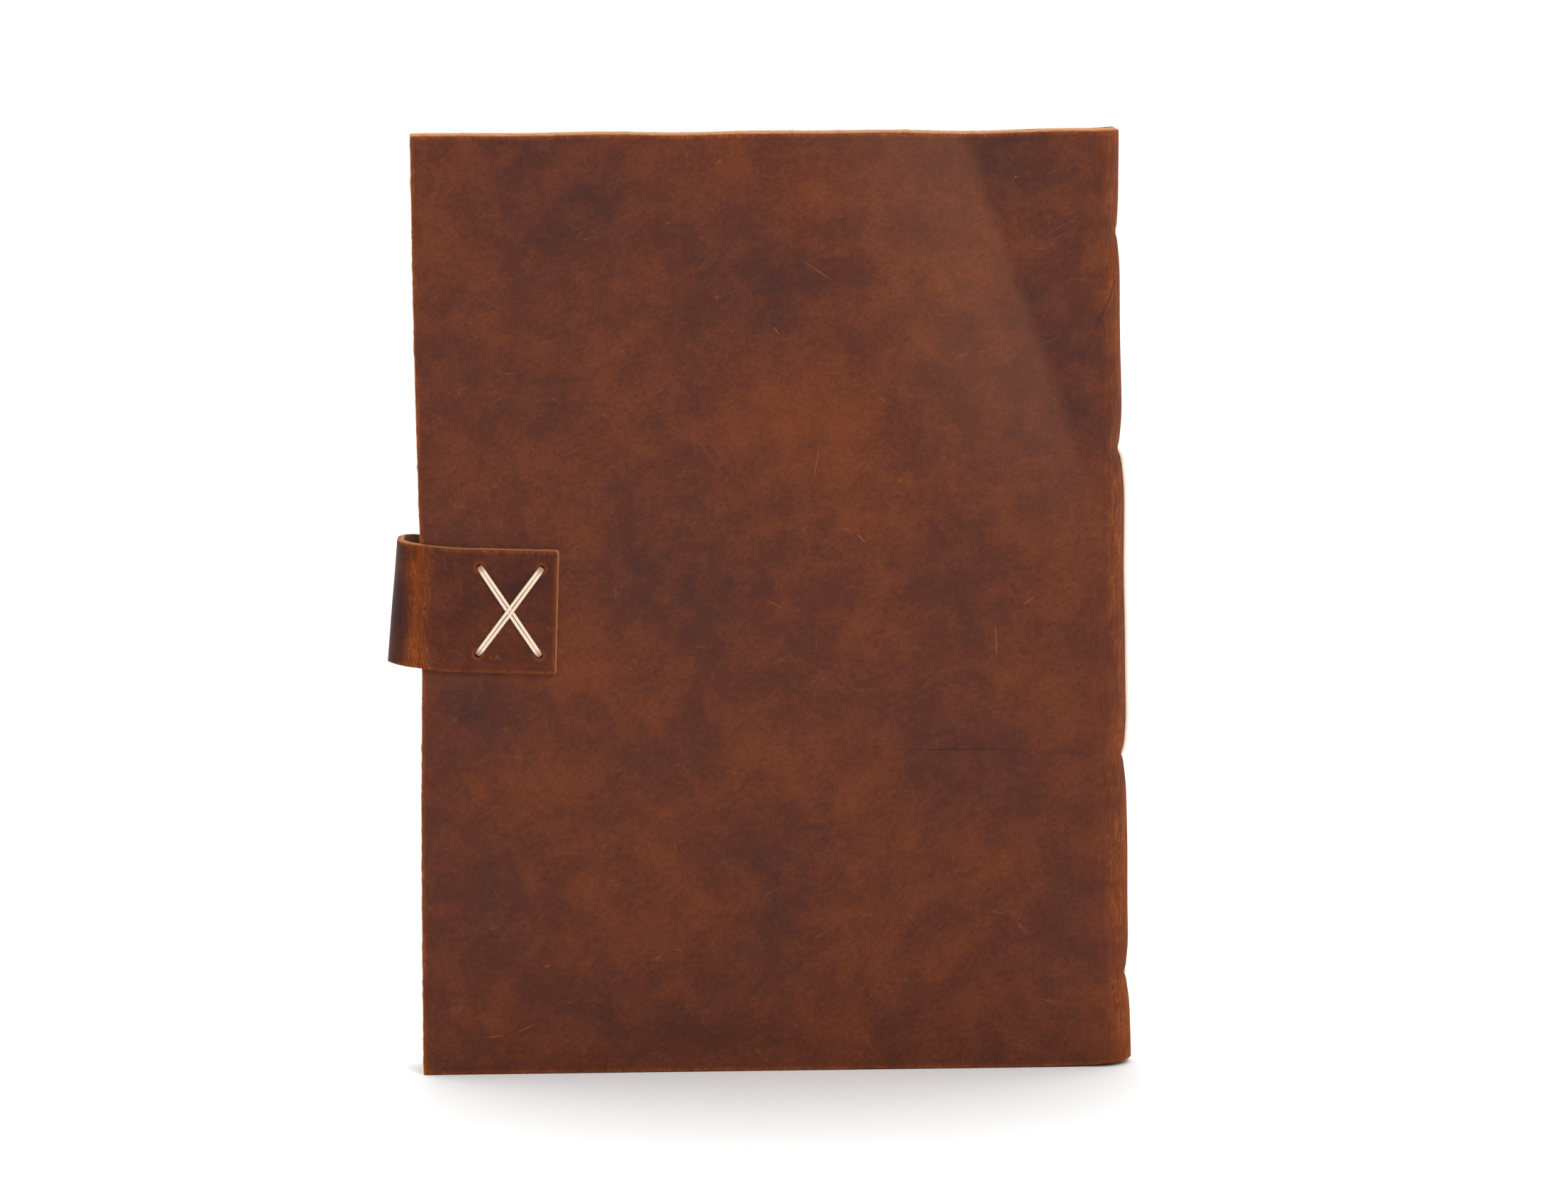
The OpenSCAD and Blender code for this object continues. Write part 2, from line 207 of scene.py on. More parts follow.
class Value:
    """A node's output, for arithmetic."""

    def __init__(self, tree, socket):
        self.tree, self.socket = tree, socket

    def __mul__(self, other):
        return self.tree.math("MULTIPLY", self, other)

    def __add__(self, other):
        return self.tree.math("ADD", self, other)

    def __sub__(self, other):
        return self.tree.math("SUBTRACT", self, other)


class Tree:
    """Makes a material's nodes. An input is a number, a colour or another node's Value."""

    def __init__(self, name):
        self.material = bpy.data.materials.new(name)
        self.material.use_nodes = True
        self.nodes = self.material.node_tree.nodes
        self.links = self.material.node_tree.links
        self.nodes.clear()
        output = self.nodes.new("ShaderNodeOutputMaterial")
        self.shader = self.nodes.new("ShaderNodeBsdfPrincipled")
        self.links.new(self.shader.outputs[0], output.inputs["Surface"])

    def feed(self, socket, value):
        if isinstance(value, Value):
            self.links.new(value.socket, socket)
        elif value is not None:
            if hasattr(socket.default_value, "__len__") and len(socket.default_value) == 4:
                value = (*value, 1.0)[:4]
            socket.default_value = value

    def node(self, kind, output=0, inputs=(), **settings):
        """A new node's output, after its settings and its (input, value) pairs are set."""
        node = self.nodes.new("ShaderNode" + kind)
        for name, value in settings.items():
            setattr(node, name, value)
        for key, value in inputs:
            self.feed(node.inputs[key], value)
        return Value(self, node.outputs[output])

    def attribute(self, name, output="Vector"):
        return self.node("Attribute", output, attribute_name=name)

    def math(self, operation, a, b=None, c=None):
        return self.node("Math", 0, enumerate((a, b, c)), operation=operation)

    def swing(self, pattern, amount):
        """A 0..1 pattern as a swing about zero, amount wide."""
        return (pattern - 0.5) * amount

    def most(self, masks):
        return reduce(lambda a, b: self.math("MAXIMUM", a, b), masks)

    def vector(self, operation, a, b=None):
        output = "Value" if operation in ("LENGTH", "DOT_PRODUCT") else 0
        return self.node("VectorMath", output, enumerate((a, b)), operation=operation)

    def turned(self, vector, degrees):
        inputs = (("Vector", vector), ("Angle", math.radians(degrees)))
        return self.node("VectorRotate", 0, inputs, rotation_type="Z_AXIS")

    def mapped(self, vector, location=(0, 0, 0), turn=0.0, scale=(1, 1, 1)):
        """Turns the pattern by turn degrees, then scales and shifts what is looked up."""
        vector = self.turned(vector, -turn) if turn else vector
        return self.node("Mapping", 0, (("Vector", vector), ("Location", location), ("Scale", scale)))

    def noise(self, vector, scale, detail=2.0, rough=0.5, distortion=0.0):
        names = ("Vector", "Scale", "Detail", "Roughness", "Distortion")
        return self.node("TexNoise", 0, zip(names, (vector, scale, detail, rough, distortion)))

    def cells(self, vector, scale):
        return self.node("TexVoronoi", "Distance", (("Vector", vector), ("Scale", scale)))

    def mix(self, factor, a, b, blend="MIX"):
        inputs = ((0, factor), (6, a), (7, b))
        return self.node("Mix", 2, inputs, data_type="RGBA", blend_type=blend)

    def ramp(self, factor, *stops):
        """stops are (place, grey or colour)."""
        node = self.nodes.new("ShaderNodeValToRGB")
        self.feed(node.inputs[0], factor)
        elements = node.color_ramp.elements
        while len(elements) < len(stops):
            elements.new(0.5)
        for element, (place, colour) in zip(elements, stops):
            element.position = place
            element.color = (*colour, 1) if hasattr(colour, "__len__") else (colour, colour, colour, 1)
        return Value(self, node.outputs[0])

    def between(self, value, low, high, to_low=0.0, to_high=1.0):
        names = ("Value", "From Min", "From Max", "To Min", "To Max")
        inputs = zip(names, (value, low, high, to_low, to_high))
        return self.node("MapRange", 0, inputs, interpolation_type="SMOOTHSTEP")

    def below(self, value, low, high):
        """1 up to low, falling to 0 at high."""
        return self.between(value, low, high, 1.0, 0.0)

    def contour(self, pattern, width):
        """Thin lines where a pattern passes through its middle value."""
        return self.below(self.math("ABSOLUTE", pattern - 0.5), 0.0, width)

    def bumped(self, height, depth_mm, strength):
        inputs = (("Strength", strength), ("Distance", depth_mm * MM), ("Height", height))
        return self.node("Bump", 0, inputs)

    def finish(self, colour, roughness, normal=None, **constants):
        self.feed(self.shader.inputs["Base Color"], colour)
        self.feed(self.shader.inputs["Roughness"], roughness)
        self.feed(self.shader.inputs["Normal"], normal)
        for name, value in constants.items():
            self.feed(self.shader.inputs[name.replace("_", " ")], value)
        return self.material


def srgb(*screen):
    """A linear colour from 0..255 screen values."""
    shares = (value / 255 for value in screen)
    return tuple(c / 12.92 if c <= 0.04045 else ((c + 0.055) / 1.055) ** 2.4 for c in shares)


# ---- materials


def scratch_lines(tree, spot, turn, seed, density, width):
    """Hairlines that run roughly one way: thin level lines of a noise drawn out along that way."""
    drawn = tree.mapped(spot, (seed * 13.7, seed * 5.3, seed), turn, (0.045, 0.30, 1))
    line = tree.contour(tree.noise(drawn, 1, 2, 0.5, 0.3), width)
    place = tree.mapped(spot, (seed * 7.1, seed * 3.9, seed), turn, (0.05, 0.11, 1))
    return line * tree.between(tree.noise(place, 1, 2, 0.6), density, density + 0.07)


def centred(tree, flat, middle, scale, turn=0):
    """The place on the flat sheet as seen from a point, turned and scaled."""
    offset = tree.vector("SUBTRACT", flat, (*middle, 0))
    offset = tree.turned(offset, -turn) if turn else offset
    return tree.vector("MULTIPLY", offset, (*scale, 0))


def mark(tree, flat, start, end, width):
    """A single thin stroke from start to end, given on the flat sheet in mm."""
    (x0, y0), (x1, y1) = start, end
    length = math.hypot(x1 - x0, y1 - y0)
    turn = math.degrees(math.atan2(y1 - y0, x1 - x0))
    scaled = centred(tree, flat, ((x0 + x1) / 2, (y0 + y1) / 2), (2 / length, 2 / width), turn)
    return tree.below(tree.vector("LENGTH", scaled), 0.45, 1)


def patch(tree, flat, middle, size):
    """A soft-edged oval on the flat sheet."""
    scaled = centred(tree, flat, middle, (1 / size[0], 1 / size[1]))
    return tree.below(tree.vector("LENGTH", scaled), 0.25, 1)


# the leather's ground colours, from dark to light, and the colours laid over them
DARK = srgb(63, 29, 23)
RED_BROWN = srgb(88, 38, 18)
WARM = srgb(113, 52, 16)
ORANGE = srgb(131, 61, 16)
VEIN = srgb(126, 64, 34)
PULLED = srgb(137, 62, 2)
CRACK = srgb(172, 98, 44)
PORE = srgb(50, 26, 20)
SCRATCH = srgb(168, 104, 62)
# a painted sheen, laid before the soft ridge on the back cover
FLECK = srgb(205, 160, 120)
PAINTED_SHEEN_COLOUR = srgb(225, 155, 120)
STROKE = srgb(40, 20, 18)
# painted shade for the mouths of the sewn holes
PAINTED_HOLE_SHADE = srgb(36, 15, 12)

# each set of hairlines: the way they run in degrees, how rare they are, and their width
HAIRLINES = ((28, 0.60, 0.012), (-52, 0.62, 0.010), (83, 0.63, 0.010), (-8, 0.64, 0.012))


def leather_tone(tree, spot, blotches, speckle):
    """Light and dark of the ground, from large clouds to fine nap."""
    clouds = tree.noise(spot, 0.020, 3, 0.55, 0.4)
    nap = tree.noise(tree.mapped(spot, turn=60, scale=(0.6, 1, 1)), 1.5, 4, 0.65, 0.5)
    streaks = tree.noise(tree.mapped(spot, turn=32, scale=(0.22, 1, 1)), 1.1, 3, 0.65, 0.3)
    tone = tree.math("MULTIPLY_ADD", clouds, 0.55, 0.10)
    tone = tone + blotches * 0.26
    for pattern, amount in ((speckle, 0.44), (nap, 0.32), (streaks, 0.26)):
        tone = tone + tree.swing(pattern, amount)
    return tone


def painted_ridge_shade_and_sheen(tree, flat, blotches):
    """How much painted shade darkens the leather past the soft ridge, and how much painted sheen lightens it
    before the ridge.
    """
    past = tree.vector("DOT_PRODUCT", tree.vector("SUBTRACT", flat, (*RIDGE, 0)), (*RIDGE_WAY, 0))
    high = tree.between(tree.node("SeparateXYZ", "Y", [(0, flat)]), 150, 235)
    uneven = past + tree.swing(blotches, 14)
    after = tree.between(uneven, -3, 3) * tree.below(uneven, 16, 34)
    before = tree.between(uneven, -62, -10) * tree.below(uneven, -4, 2)
    return after * high * 0.07, before * high * 0.045


def leather_grain(name, seed, patches, shine, light=(), deep=(), holes=(), warmth=0, ridge=False):
    """Waxed pull-up leather. flat is the place on the flat sheet in mm, pull is how worn or bent it is.

    patches lighten or darken ovals, light and deep are single strokes, holes are sewn through and get painted
    shade in their mouths.
    """
    tree = Tree(name)
    flat = tree.attribute("flat")
    pull = tree.attribute("pull", "Fac")
    spot = tree.mapped(flat, (seed * 31, seed * 17, 0))
    blotches = tree.noise(spot, 0.085, 5, 0.68, 0.3)
    speckle = tree.noise(spot, 0.55, 5, 0.7)

    tone = leather_tone(tree, spot, blotches, speckle)
    for middle, size, amount in patches:
        tone = tone + patch(tree, flat, middle, size) * amount
    # painted shade darkens the tone past the soft ridge
    if ridge:
        painted_shade, painted_sheen = painted_ridge_shade_and_sheen(tree, flat, blotches)
        tone = tone - painted_shade
    tone = tone + warmth
    colour = tree.ramp(tone, (0.28, DARK), (0.48, RED_BROWN), (0.66, WARM), (0.92, ORANGE))

    # a net of pale fibres, and grit over it
    ways = enumerate((55, -35, 10), 1)
    nets = [tree.mapped(spot, (k * 19, k, 0), way, (0.30, 0.75, 1)) for k, way in ways]
    veins = tree.most([tree.contour(tree.noise(net, 1, 3, 0.55, 1.3), 0.045) for net in nets])
    veins = veins * tree.between(blotches, 0.42, 0.62, 0.1, 1)
    colour = tree.mix(veins * 0.34, colour, VEIN)
    grit = tree.ramp(tree.noise(spot, 1.9, 3, 0.75), (0.25, 0.72), (0.75, 1))
    colour = tree.mix(0.9, colour, grit, "MULTIPLY")

    # the wax has drawn back where the leather is bent or rubbed, and fine cracks run along there
    creases = tree.noise(tree.mapped(spot, scale=(1, 0.09, 1)), 0.75, 4, 0.6, 0.6)
    worn = pull * tree.between(creases, 0.36, 0.62, 0.25, 1.1)
    colour = tree.mix(worn, colour, PULLED)
    drawn = tree.mapped(spot, turn=-7, scale=(1, 0.10, 1))
    cracks = tree.contour(tree.noise(drawn, 0.8, 3, 0.55, 1.6), 0.05)
    cracks = cracks * tree.between(blotches, 0.40, 0.60)
    cracks = cracks * tree.between(pull, 0.05, 0.4)
    colour = tree.mix(cracks * 0.48, colour, CRACK)

    pores = tree.below(tree.cells(spot, 0.85), 0, 0.16)
    colour = tree.mix(pores * 0.35, colour, PORE)
    lines = tree.most([
        scratch_lines(tree, spot, turn, k + seed, density, width)
        for k, (turn, density, width) in enumerate(HAIRLINES, 1)
    ])
    colour = tree.mix(lines * 0.2, colour, SCRATCH)
    flecks = tree.below(tree.cells(tree.mapped(spot, (4, 9, 0)), 0.05), 0, 0.017)
    flecks = flecks * tree.between(tree.noise(spot, 0.3, 1), 0.42, 0.5)
    colour = tree.mix(flecks * 0.75, colour, FLECK)
    # a painted sheen lightens the leather before the soft ridge
    if ridge:
        colour = tree.mix(painted_sheen, colour, PAINTED_SHEEN_COLOUR)
    height = lines * -0.5
    for strokes, share, stroke_colour, depth in ((light, 0.6, SCRATCH, 1), (deep, 0.75, STROKE, 2)):
        if strokes:
            strokes = tree.most([mark(tree, flat, *stroke) for stroke in strokes])
            colour = tree.mix(strokes * share, colour, stroke_colour)
            height = height - strokes * depth
    if holes:
        rings = [tree.vector("LENGTH", centred(tree, flat, at, (1, 1))) for at in holes]
        nearest = reduce(lambda a, b: tree.math("MINIMUM", a, b), rings)
        uneven = nearest + tree.swing(speckle, 1.2)
        colour = tree.mix(tree.between(uneven, 1.2, 2.7, 0.6, 0), colour, PULLED)
        # painted shade: a dark disc in the mouth of each sewn hole
        colour = tree.mix(tree.below(uneven, 0.95, 1.35), colour, PAINTED_HOLE_SHADE)

    pebbles = tree.cells(tree.mapped(spot, scale=(1, 0.85, 1)), 1.5)
    fine = tree.noise(spot, 3.2, 3, 0.6)
    wrinkle = (creases - 0.5) * (pull + 0.12)
    relief = ((pebbles, 0.55), (fine, 0.35), (speckle, 0.9), (wrinkle, 4), (pores, -0.5))
    for pattern, amount in relief:
        height = height + pattern * amount
    normal = tree.bumped(height, 0.075, 0.8)

    roughness = tree.between(tone, 0.3, 0.75, 0.50, 0.60)
    roughness = roughness + tree.swing(fine, 0.12)
    roughness = roughness + lines * 0.1
    roughness = roughness + pull * 0.4
    return tree.finish(colour, roughness, normal, Specular_IOR_Level=shine)


def leather_flesh(name):
    """The suede inside of the leather: short tangled fibres."""
    tree = Tree(name)
    flat = tree.attribute("flat")
    fibres = tree.noise(tree.mapped(flat, scale=(1, 0.35, 1)), 1.6, 6, 0.7, 1.5)
    clouds = tree.noise(flat, 0.05, 3)
    tone = fibres * 0.6 + clouds * 0.4
    colour = tree.ramp(tone, (0.3, srgb(120, 76, 48)), (0.5, srgb(160, 108, 70)), (0.7, srgb(188, 138, 96)))
    normal = tree.bumped(fibres + tree.noise(flat, 5, 3), 0.16, 0.9)
    return tree.finish(colour, 0.92, normal, Specular_IOR_Level=0.2, Sheen_Weight=0.25, Sheen_Roughness=0.5)


def leather_cut(name, grime):
    """The cut edge: dark next to the grain, tan fibres in the middle, browner at the flesh side."""
    tree = Tree(name)
    flat = tree.attribute("flat")
    fibres = tree.noise(flat, 1.9, 6, 0.72, 0.8)
    layers = (
        (0.00, srgb(104, 54, 30)),
        (0.16, srgb(158, 92, 48)),
        (0.45, srgb(206, 146, 96)),
        (0.80, srgb(214, 160, 112)),
        (1.00, srgb(170, 116, 76)),
    )
    colour = tree.ramp(tree.attribute("depth", "Fac") + tree.swing(fibres, 0.9), *layers)
    colour = tree.mix(grime, colour, srgb(112, 60, 30))
    normal = tree.bumped(fibres + tree.noise(flat, 6, 3), 0.14, 0.9)
    return tree.finish(colour, 0.85, normal, Specular_IOR_Level=0.25)


def waxed_thread(name):
    """Cream thread, with painted shade in the grooves between its plies, and grimy where it enters a hole."""
    tree = Tree(name)
    strand = tree.noise(tree.mapped(tree.attribute("flat"), scale=(0.5, 5, 1)), 2.2, 4, 0.6)
    cream = ((0.25, srgb(226, 192, 160)), (0.5, srgb(250, 228, 204)), (0.8, srgb(255, 244, 228)))
    colour = tree.ramp(strand, *cream)
    colour = tree.mix(tree.attribute("grime", "Fac") * 0.75, colour, srgb(150, 92, 62))
    # painted shade in the grooves between the plies
    colour = tree.mix(tree.attribute("groove", "Fac") * 0.25, colour, srgb(176, 128, 92))
    normal = tree.bumped(strand, 0.05, 0.7)
    return tree.finish(colour, 0.62, normal, Specular_IOR_Level=0.35, Sheen_Weight=0.15, Sheen_Roughness=0.4)


def page_paper(name):
    tree = Tree(name)
    flat = tree.attribute("flat")
    pulp, clouds = tree.noise(flat, 0.9, 5, 0.65), tree.noise(flat, 0.05, 2)
    tone = pulp * 0.5 + clouds * 0.5
    colour = tree.ramp(tone, (0.3, srgb(232, 224, 204)), (0.7, srgb(242, 236, 220)))
    normal = tree.bumped(tree.noise(flat, 3, 4, 0.7), 0.03, 0.6)
    return tree.finish(colour, 0.9, normal, Specular_IOR_Level=0.2)


def antique_brass(name):
    tree = Tree(name)
    where = tree.node("TexCoord", "Object")
    cloud = tree.noise(where, 700, 3, 0.5)
    brushed = tree.noise(tree.mapped(where, scale=(1, 1, 6)), 2400, 3)
    colour = tree.ramp(cloud, (0.3, srgb(128, 98, 58)), (0.5, srgb(160, 126, 76)), (0.72, srgb(184, 150, 96)))
    roughness = tree.between(cloud, 0.3, 0.7, 0.46, 0.28)
    return tree.finish(colour, roughness, tree.bumped(brushed, 0.01, 0.5), Metallic=1)


def spring_steel(name):
    tree = Tree(name)
    drawn = tree.noise(tree.node("TexCoord", "Object"), 3000, 3)
    colour = tree.ramp(drawn, (0.3, srgb(150, 150, 146)), (0.7, srgb(196, 196, 190)))
    return tree.finish(colour, 0.32, tree.bumped(drawn, 0.004, 0.4), Metallic=1)


# ---- leather sheets

# the cut rim from the grain side to the flesh side: depth as a share of the leather, and its swell in mm
RIM = ((0.08, 0.06), (0.3, 0.10), (0.62, 0.12), (0.9, 0.07))
BEVEL_FADE = 5.0


def rounded(u, v, sheet):
    """Pulls the sheet's square corners in to a small radius, at the ends that have corners."""
    radius = sheet["corner"]
    for end, sign in zip(sheet["u"], (-1, 1)):
        if end == sheet["seam"]:
            continue
        for side, way in zip(sheet["v"], (-1, 1)):
            a = (u - (end - sign * radius)) * sign
            b = (v - (side - way * radius)) * way
            inside = (a > 0) & (b > 0)
            shrink = np.where(inside, np.maximum(a, b) / np.maximum(np.hypot(a, b), 1e-9), 1.0)
            u = np.where(inside, end - sign * radius + sign * a * shrink, u)
            v = np.where(inside, side - way * radius + way * b * shrink, v)
    return u, v


def leather_piece(name, sheet, materials):
    """A sheet with a grain side, a flesh side and a cut rim.

    sheet: u and v are its limits, seam is the end that meets another piece, place(u, v, depth) bends it,
    pull(u, v) is its wear, bevel gives how far the cuts at low u, high u, low v and high v slant (0 at the
    seam), and lines are its grid lines.
    """
    us, vs = sheet["lines"]
    nu, nv = len(us), len(vs)
    grid_u, grid_v = (g.ravel() for g in np.meshgrid(us, vs, indexing="ij"))
    (u_low, u_high), (v_low, v_high) = sheet["u"], sheet["v"]

    def slanted(u, v, depth):
        """The cut slants: the grain side stops short of the flesh side by the bevel."""
        short = 1 - depth / LEATHER
        gaps = (u - u_low, u_high - u, v - v_low, v_high - v)
        cuts = [bevel * short * smooth(1 - gap / BEVEL_FADE) for bevel, gap in zip(sheet["bevel"], gaps)]
        return u + cuts[0] - cuts[1], v + cuts[2] - cuts[3]

    # the rim's vertices go round the grid: along v_low, up u_high, back along v_high, down u_low
    index = np.arange(nu * nv).reshape(nu, nv)
    loop = np.concatenate([index[:, 0], index[-1, 1:], index[-2::-1, -1], index[0, -2:0:-1]])
    loop_u, loop_v = grid_u[loop], grid_v[loop]
    out_u = np.where(loop_u == u_low, -1.0, 0.0) + np.where(loop_u == u_high, 1.0, 0.0)
    out_v = np.where(loop_v == v_low, -1.0, 0.0) + np.where(loop_v == v_high, 1.0, 0.0)
    out_u[loop_u == sheet["seam"]] = 0.0
    seed, raggedness = sheet["seed"], sheet["ragged"]
    ragged = ripple(loop_u + 1.7 * loop_v, seed, (0.9, 1.7, 2.9, 5.3, 11.0), raggedness)
    ragged = ragged + ripple(loop_u - 1.3 * loop_v, seed + 1, (2.3, 7.0, 17.0), 0.8 * raggedness)

    points, flats, depths = [], [], []

    def add_layer(u, v, depth, flat_u, flat_v):
        points.append(sheet["place"](u, v, depth))
        flats.append(np.stack([flat_u, flat_v, depth], 1))
        depths.append(depth / LEATHER)

    def add_side(depth):
        depth = np.full_like(grid_u, depth)
        add_layer(*slanted(*rounded(grid_u, grid_v, sheet), depth), depth, grid_u, grid_v)

    add_side(0.0)
    for share, swell in RIM:
        depth = np.full_like(loop_u, share * LEATHER)
        reach = swell + ragged * (0.4 + 0.8 * share)
        u, v = slanted(*rounded(loop_u, loop_v, sheet), depth)
        add_layer(u + out_u * reach, v + out_v * reach, depth, loop_u, loop_v)
    add_side(LEATHER)

    flip = -1 if sheet["flip"] else 1
    flesh_start = nu * nv + len(loop) * len(RIM)
    i, j = np.meshgrid(np.arange(nu - 1), np.arange(nv - 1), indexing="ij")
    corners = [index[i, j], index[i + 1, j], index[i + 1, j + 1], index[i, j + 1]]
    grain = np.stack([c.ravel() for c in corners], 1)[:, ::flip]
    faces = [grain, grain[:, ::-1] + flesh_start]
    kinds = [np.zeros(len(grain), int), np.ones(len(grain), int)]
    rings = [loop]
    rings += [nu * nv + k * len(loop) + np.arange(len(loop)) for k in range(len(RIM))]
    rings.append(loop + flesh_start)
    for upper, lower in zip(rings, rings[1:]):
        strip = np.stack([upper, lower, np.roll(lower, -1), np.roll(upper, -1)], 1)
        faces.append(strip[:, ::flip])
        kinds.append(np.full(len(strip), 2))

    points, flat, depth, faces, kinds = map(np.concatenate, (points, flats, depths, faces, kinds))
    pull = sheet["pull"](flat[:, 0], flat[:, 1])
    faces = faces.tolist()
    obj = new_object(name, points, faces, materials, kinds, flat=flat, depth=depth, pull=pull)
    mark_sharp(obj, (rings[0], rings[-1]))
    return obj


def mark_sharp(obj, loops):
    """The edges between the rim and the two sides of the leather stay crisp."""
    pairs = np.concatenate([np.stack([loop, np.roll(loop, -1)], 1) for loop in loops])
    crisp = {frozenset(pair) for pair in pairs.tolist()}
    sharp = [frozenset(edge.vertices) in crisp for edge in obj.data.edges]
    attributes = obj.data.attributes
    attribute = attributes.get("sharp_edge") or attributes.new("sharp_edge", "BOOLEAN", "EDGE")
    attribute.data.foreach_set("value", sharp)


# ---- the cover

FUZZ_COUNT = 900


def spine_pull_in(v):
    """How far the spine is drawn in by its stitches and flared at its ends, along its height."""
    drawn = sum(depth * bump(v, z, 7.5) for z, depth in PINCHES)
    flare = 0.2 * bump(v, 0.0, 14.0) + 0.2 * bump(v, HEIGHT, 12.0)
    fuller_at_foot = 0.0118 * v - 2.35
    return drawn - flare + fuller_at_foot - ripple(v, 31, (61.0, 97.0, 38.0), 0.18)


def cover_shape(u, v):
    """How far the leather lies off its true shape: out along its normal, then along u and v."""
    from_fore = np.minimum(u, COVER_LENGTH - u)
    is_back = u < MID_U
    ridge = (u - RIDGE[0]) * RIDGE_WAY[0] + (v - RIDGE[1]) * RIDGE_WAY[1]
    rise = 2.0 * np.where(ridge < 0, bump(ridge, 0, 34.0), bump(ridge, 0, 13.0))
    out = np.where(is_back, rise, 0.0) * smooth((v - 150.0) / 90.0)
    sway = ripple(u * 0.6 + v, 5, (190.0, 130.0), 0.35) + ripple(u - 0.4 * v, 6, (150.0, 210.0), 0.3)
    on_panel = smooth((PANEL + 4 - from_fore) / 30.0)
    foot = smooth(v / 25.0)
    out = (out + (sway + 0.45) * on_panel) * foot
    out = out - spine_pull_in(v) * smooth((from_fore - PANEL + 3.0) / 15.0)
    for z in STATIONS:
        for line in (-1, 0, 1):
            hole = np.hypot(u - (MID_U + line * STITCH_PITCH), v - z)
            out = out - 0.45 * bump(hole, 0, 1.6)
    # the fore-edge is hollowed a little where the strap holds it
    hollow = 1.85 / (1 + ((v - 151.0) / 60.0) ** 2) - 0.25
    hollow = hollow * np.where(is_back, 1.0, 0.7)
    inward = hollow * smooth((60.0 - from_fore) / 60.0)
    along = np.where(is_back, inward, -inward)
    # the head's cut edge waves, and the front cover's lies a little lower
    sinking = 0.95 * smooth((u - MID_U) / 24.0)
    raised = 0.75 + 0.35 * smooth((90.0 - from_fore) / 60.0)
    wave = ripple(from_fore, 11, (140.0, 83.0, 47.0), 0.42) + raised - sinking
    wave = wave * smooth((v - HEIGHT + 40) / 40)
    lifted = 1.6 * bump(u, MID_U, 17.0) * smooth((30.0 - v) / 30.0)
    return out, along, wave + lifted


def cover_place(u, v, depth):
    """Bends the flat cover round the spine. No part of it goes below the floor."""
    out, along, up = cover_shape(u, v)
    u, v = u + along, v + up
    turn = np.clip((u - PANEL) / SPINE_R - math.pi / 2, -math.pi / 2, math.pi / 2)
    past = np.maximum(u - PANEL - 2 * BEND_RUN, 0.0)
    before = np.minimum(u - PANEL, 0.0)
    radius = SPINE_R - (depth - out)
    x = SPINE_X + radius * np.cos(turn) + before - past
    y = MID_Y + radius * np.sin(turn)
    return np.stack([x, y, np.maximum(v, 0.0)], 1)


def cover_pull(u, v):
    """Wear: along the spine's bends, most at its foot, at the corners and along the cut edges."""
    from_fore = np.minimum(u, COVER_LENGTH - u)
    past = from_fore - PANEL
    spine = 0.12 * smooth((past + 4.0) / 6.0)
    spine = spine + 0.3 * smooth((past - 3.0) / 5.0) + 0.45 * smooth((past - 8.0) / 5.0)
    spine = spine * (1 - 0.25 * smooth((v - 60.0) / 60.0))
    edge = np.minimum(np.minimum(v, HEIGHT - v), from_fore)
    rim = 0.5 * bump(edge, 0.0, 0.9)
    corner = np.hypot(from_fore, v)
    return np.clip(spine + rim + 0.8 * bump(corner, 0.0, 3.0), 0, 1)


def cover_sheet(back):
    """One half of the cover: the panel and its side of the spine, up to the spine's middle."""
    step = 1.6
    at_bend, spine_step, seam_strip = PANEL - 4, 0.8, 0.06
    if back:
        limits = (0.0, MID_U)
        panel = graded(0.0, at_bend, step, fine_high=False)[:-1]
        bend = np.arange(at_bend, MID_U - 0.5, spine_step)
        lines = [panel, bend, [MID_U - seam_strip, MID_U]]
    else:
        limits = (MID_U, COVER_LENGTH)
        start = COVER_LENGTH - PANEL + 4
        bend = np.arange(MID_U + spine_step, start - 0.4, spine_step)
        lines = [[MID_U, MID_U + seam_strip], bend, graded(start, COVER_LENGTH, step, fine_low=False)]
    around_holes = [z + e for z in STATIONS for e in np.arange(-3.2, 3.3, 0.8)]
    vs = [v for v in graded(0.0, HEIGHT, step) if min(abs(v - h) for h in around_holes) > 0.7]
    return {
        "u": limits,
        "v": (0.0, HEIGHT),
        "seam": MID_U,
        "corner": 0.6,
        "seed": 3,
        "ragged": 0.17,
        "place": cover_place,
        "pull": cover_pull,
        "bevel": (0.4 * back, 0.4 * (not back), 0.35, 1.15),
        "lines": (np.concatenate(lines), np.array(sorted(vs + around_holes))),
        "flip": False,
    }


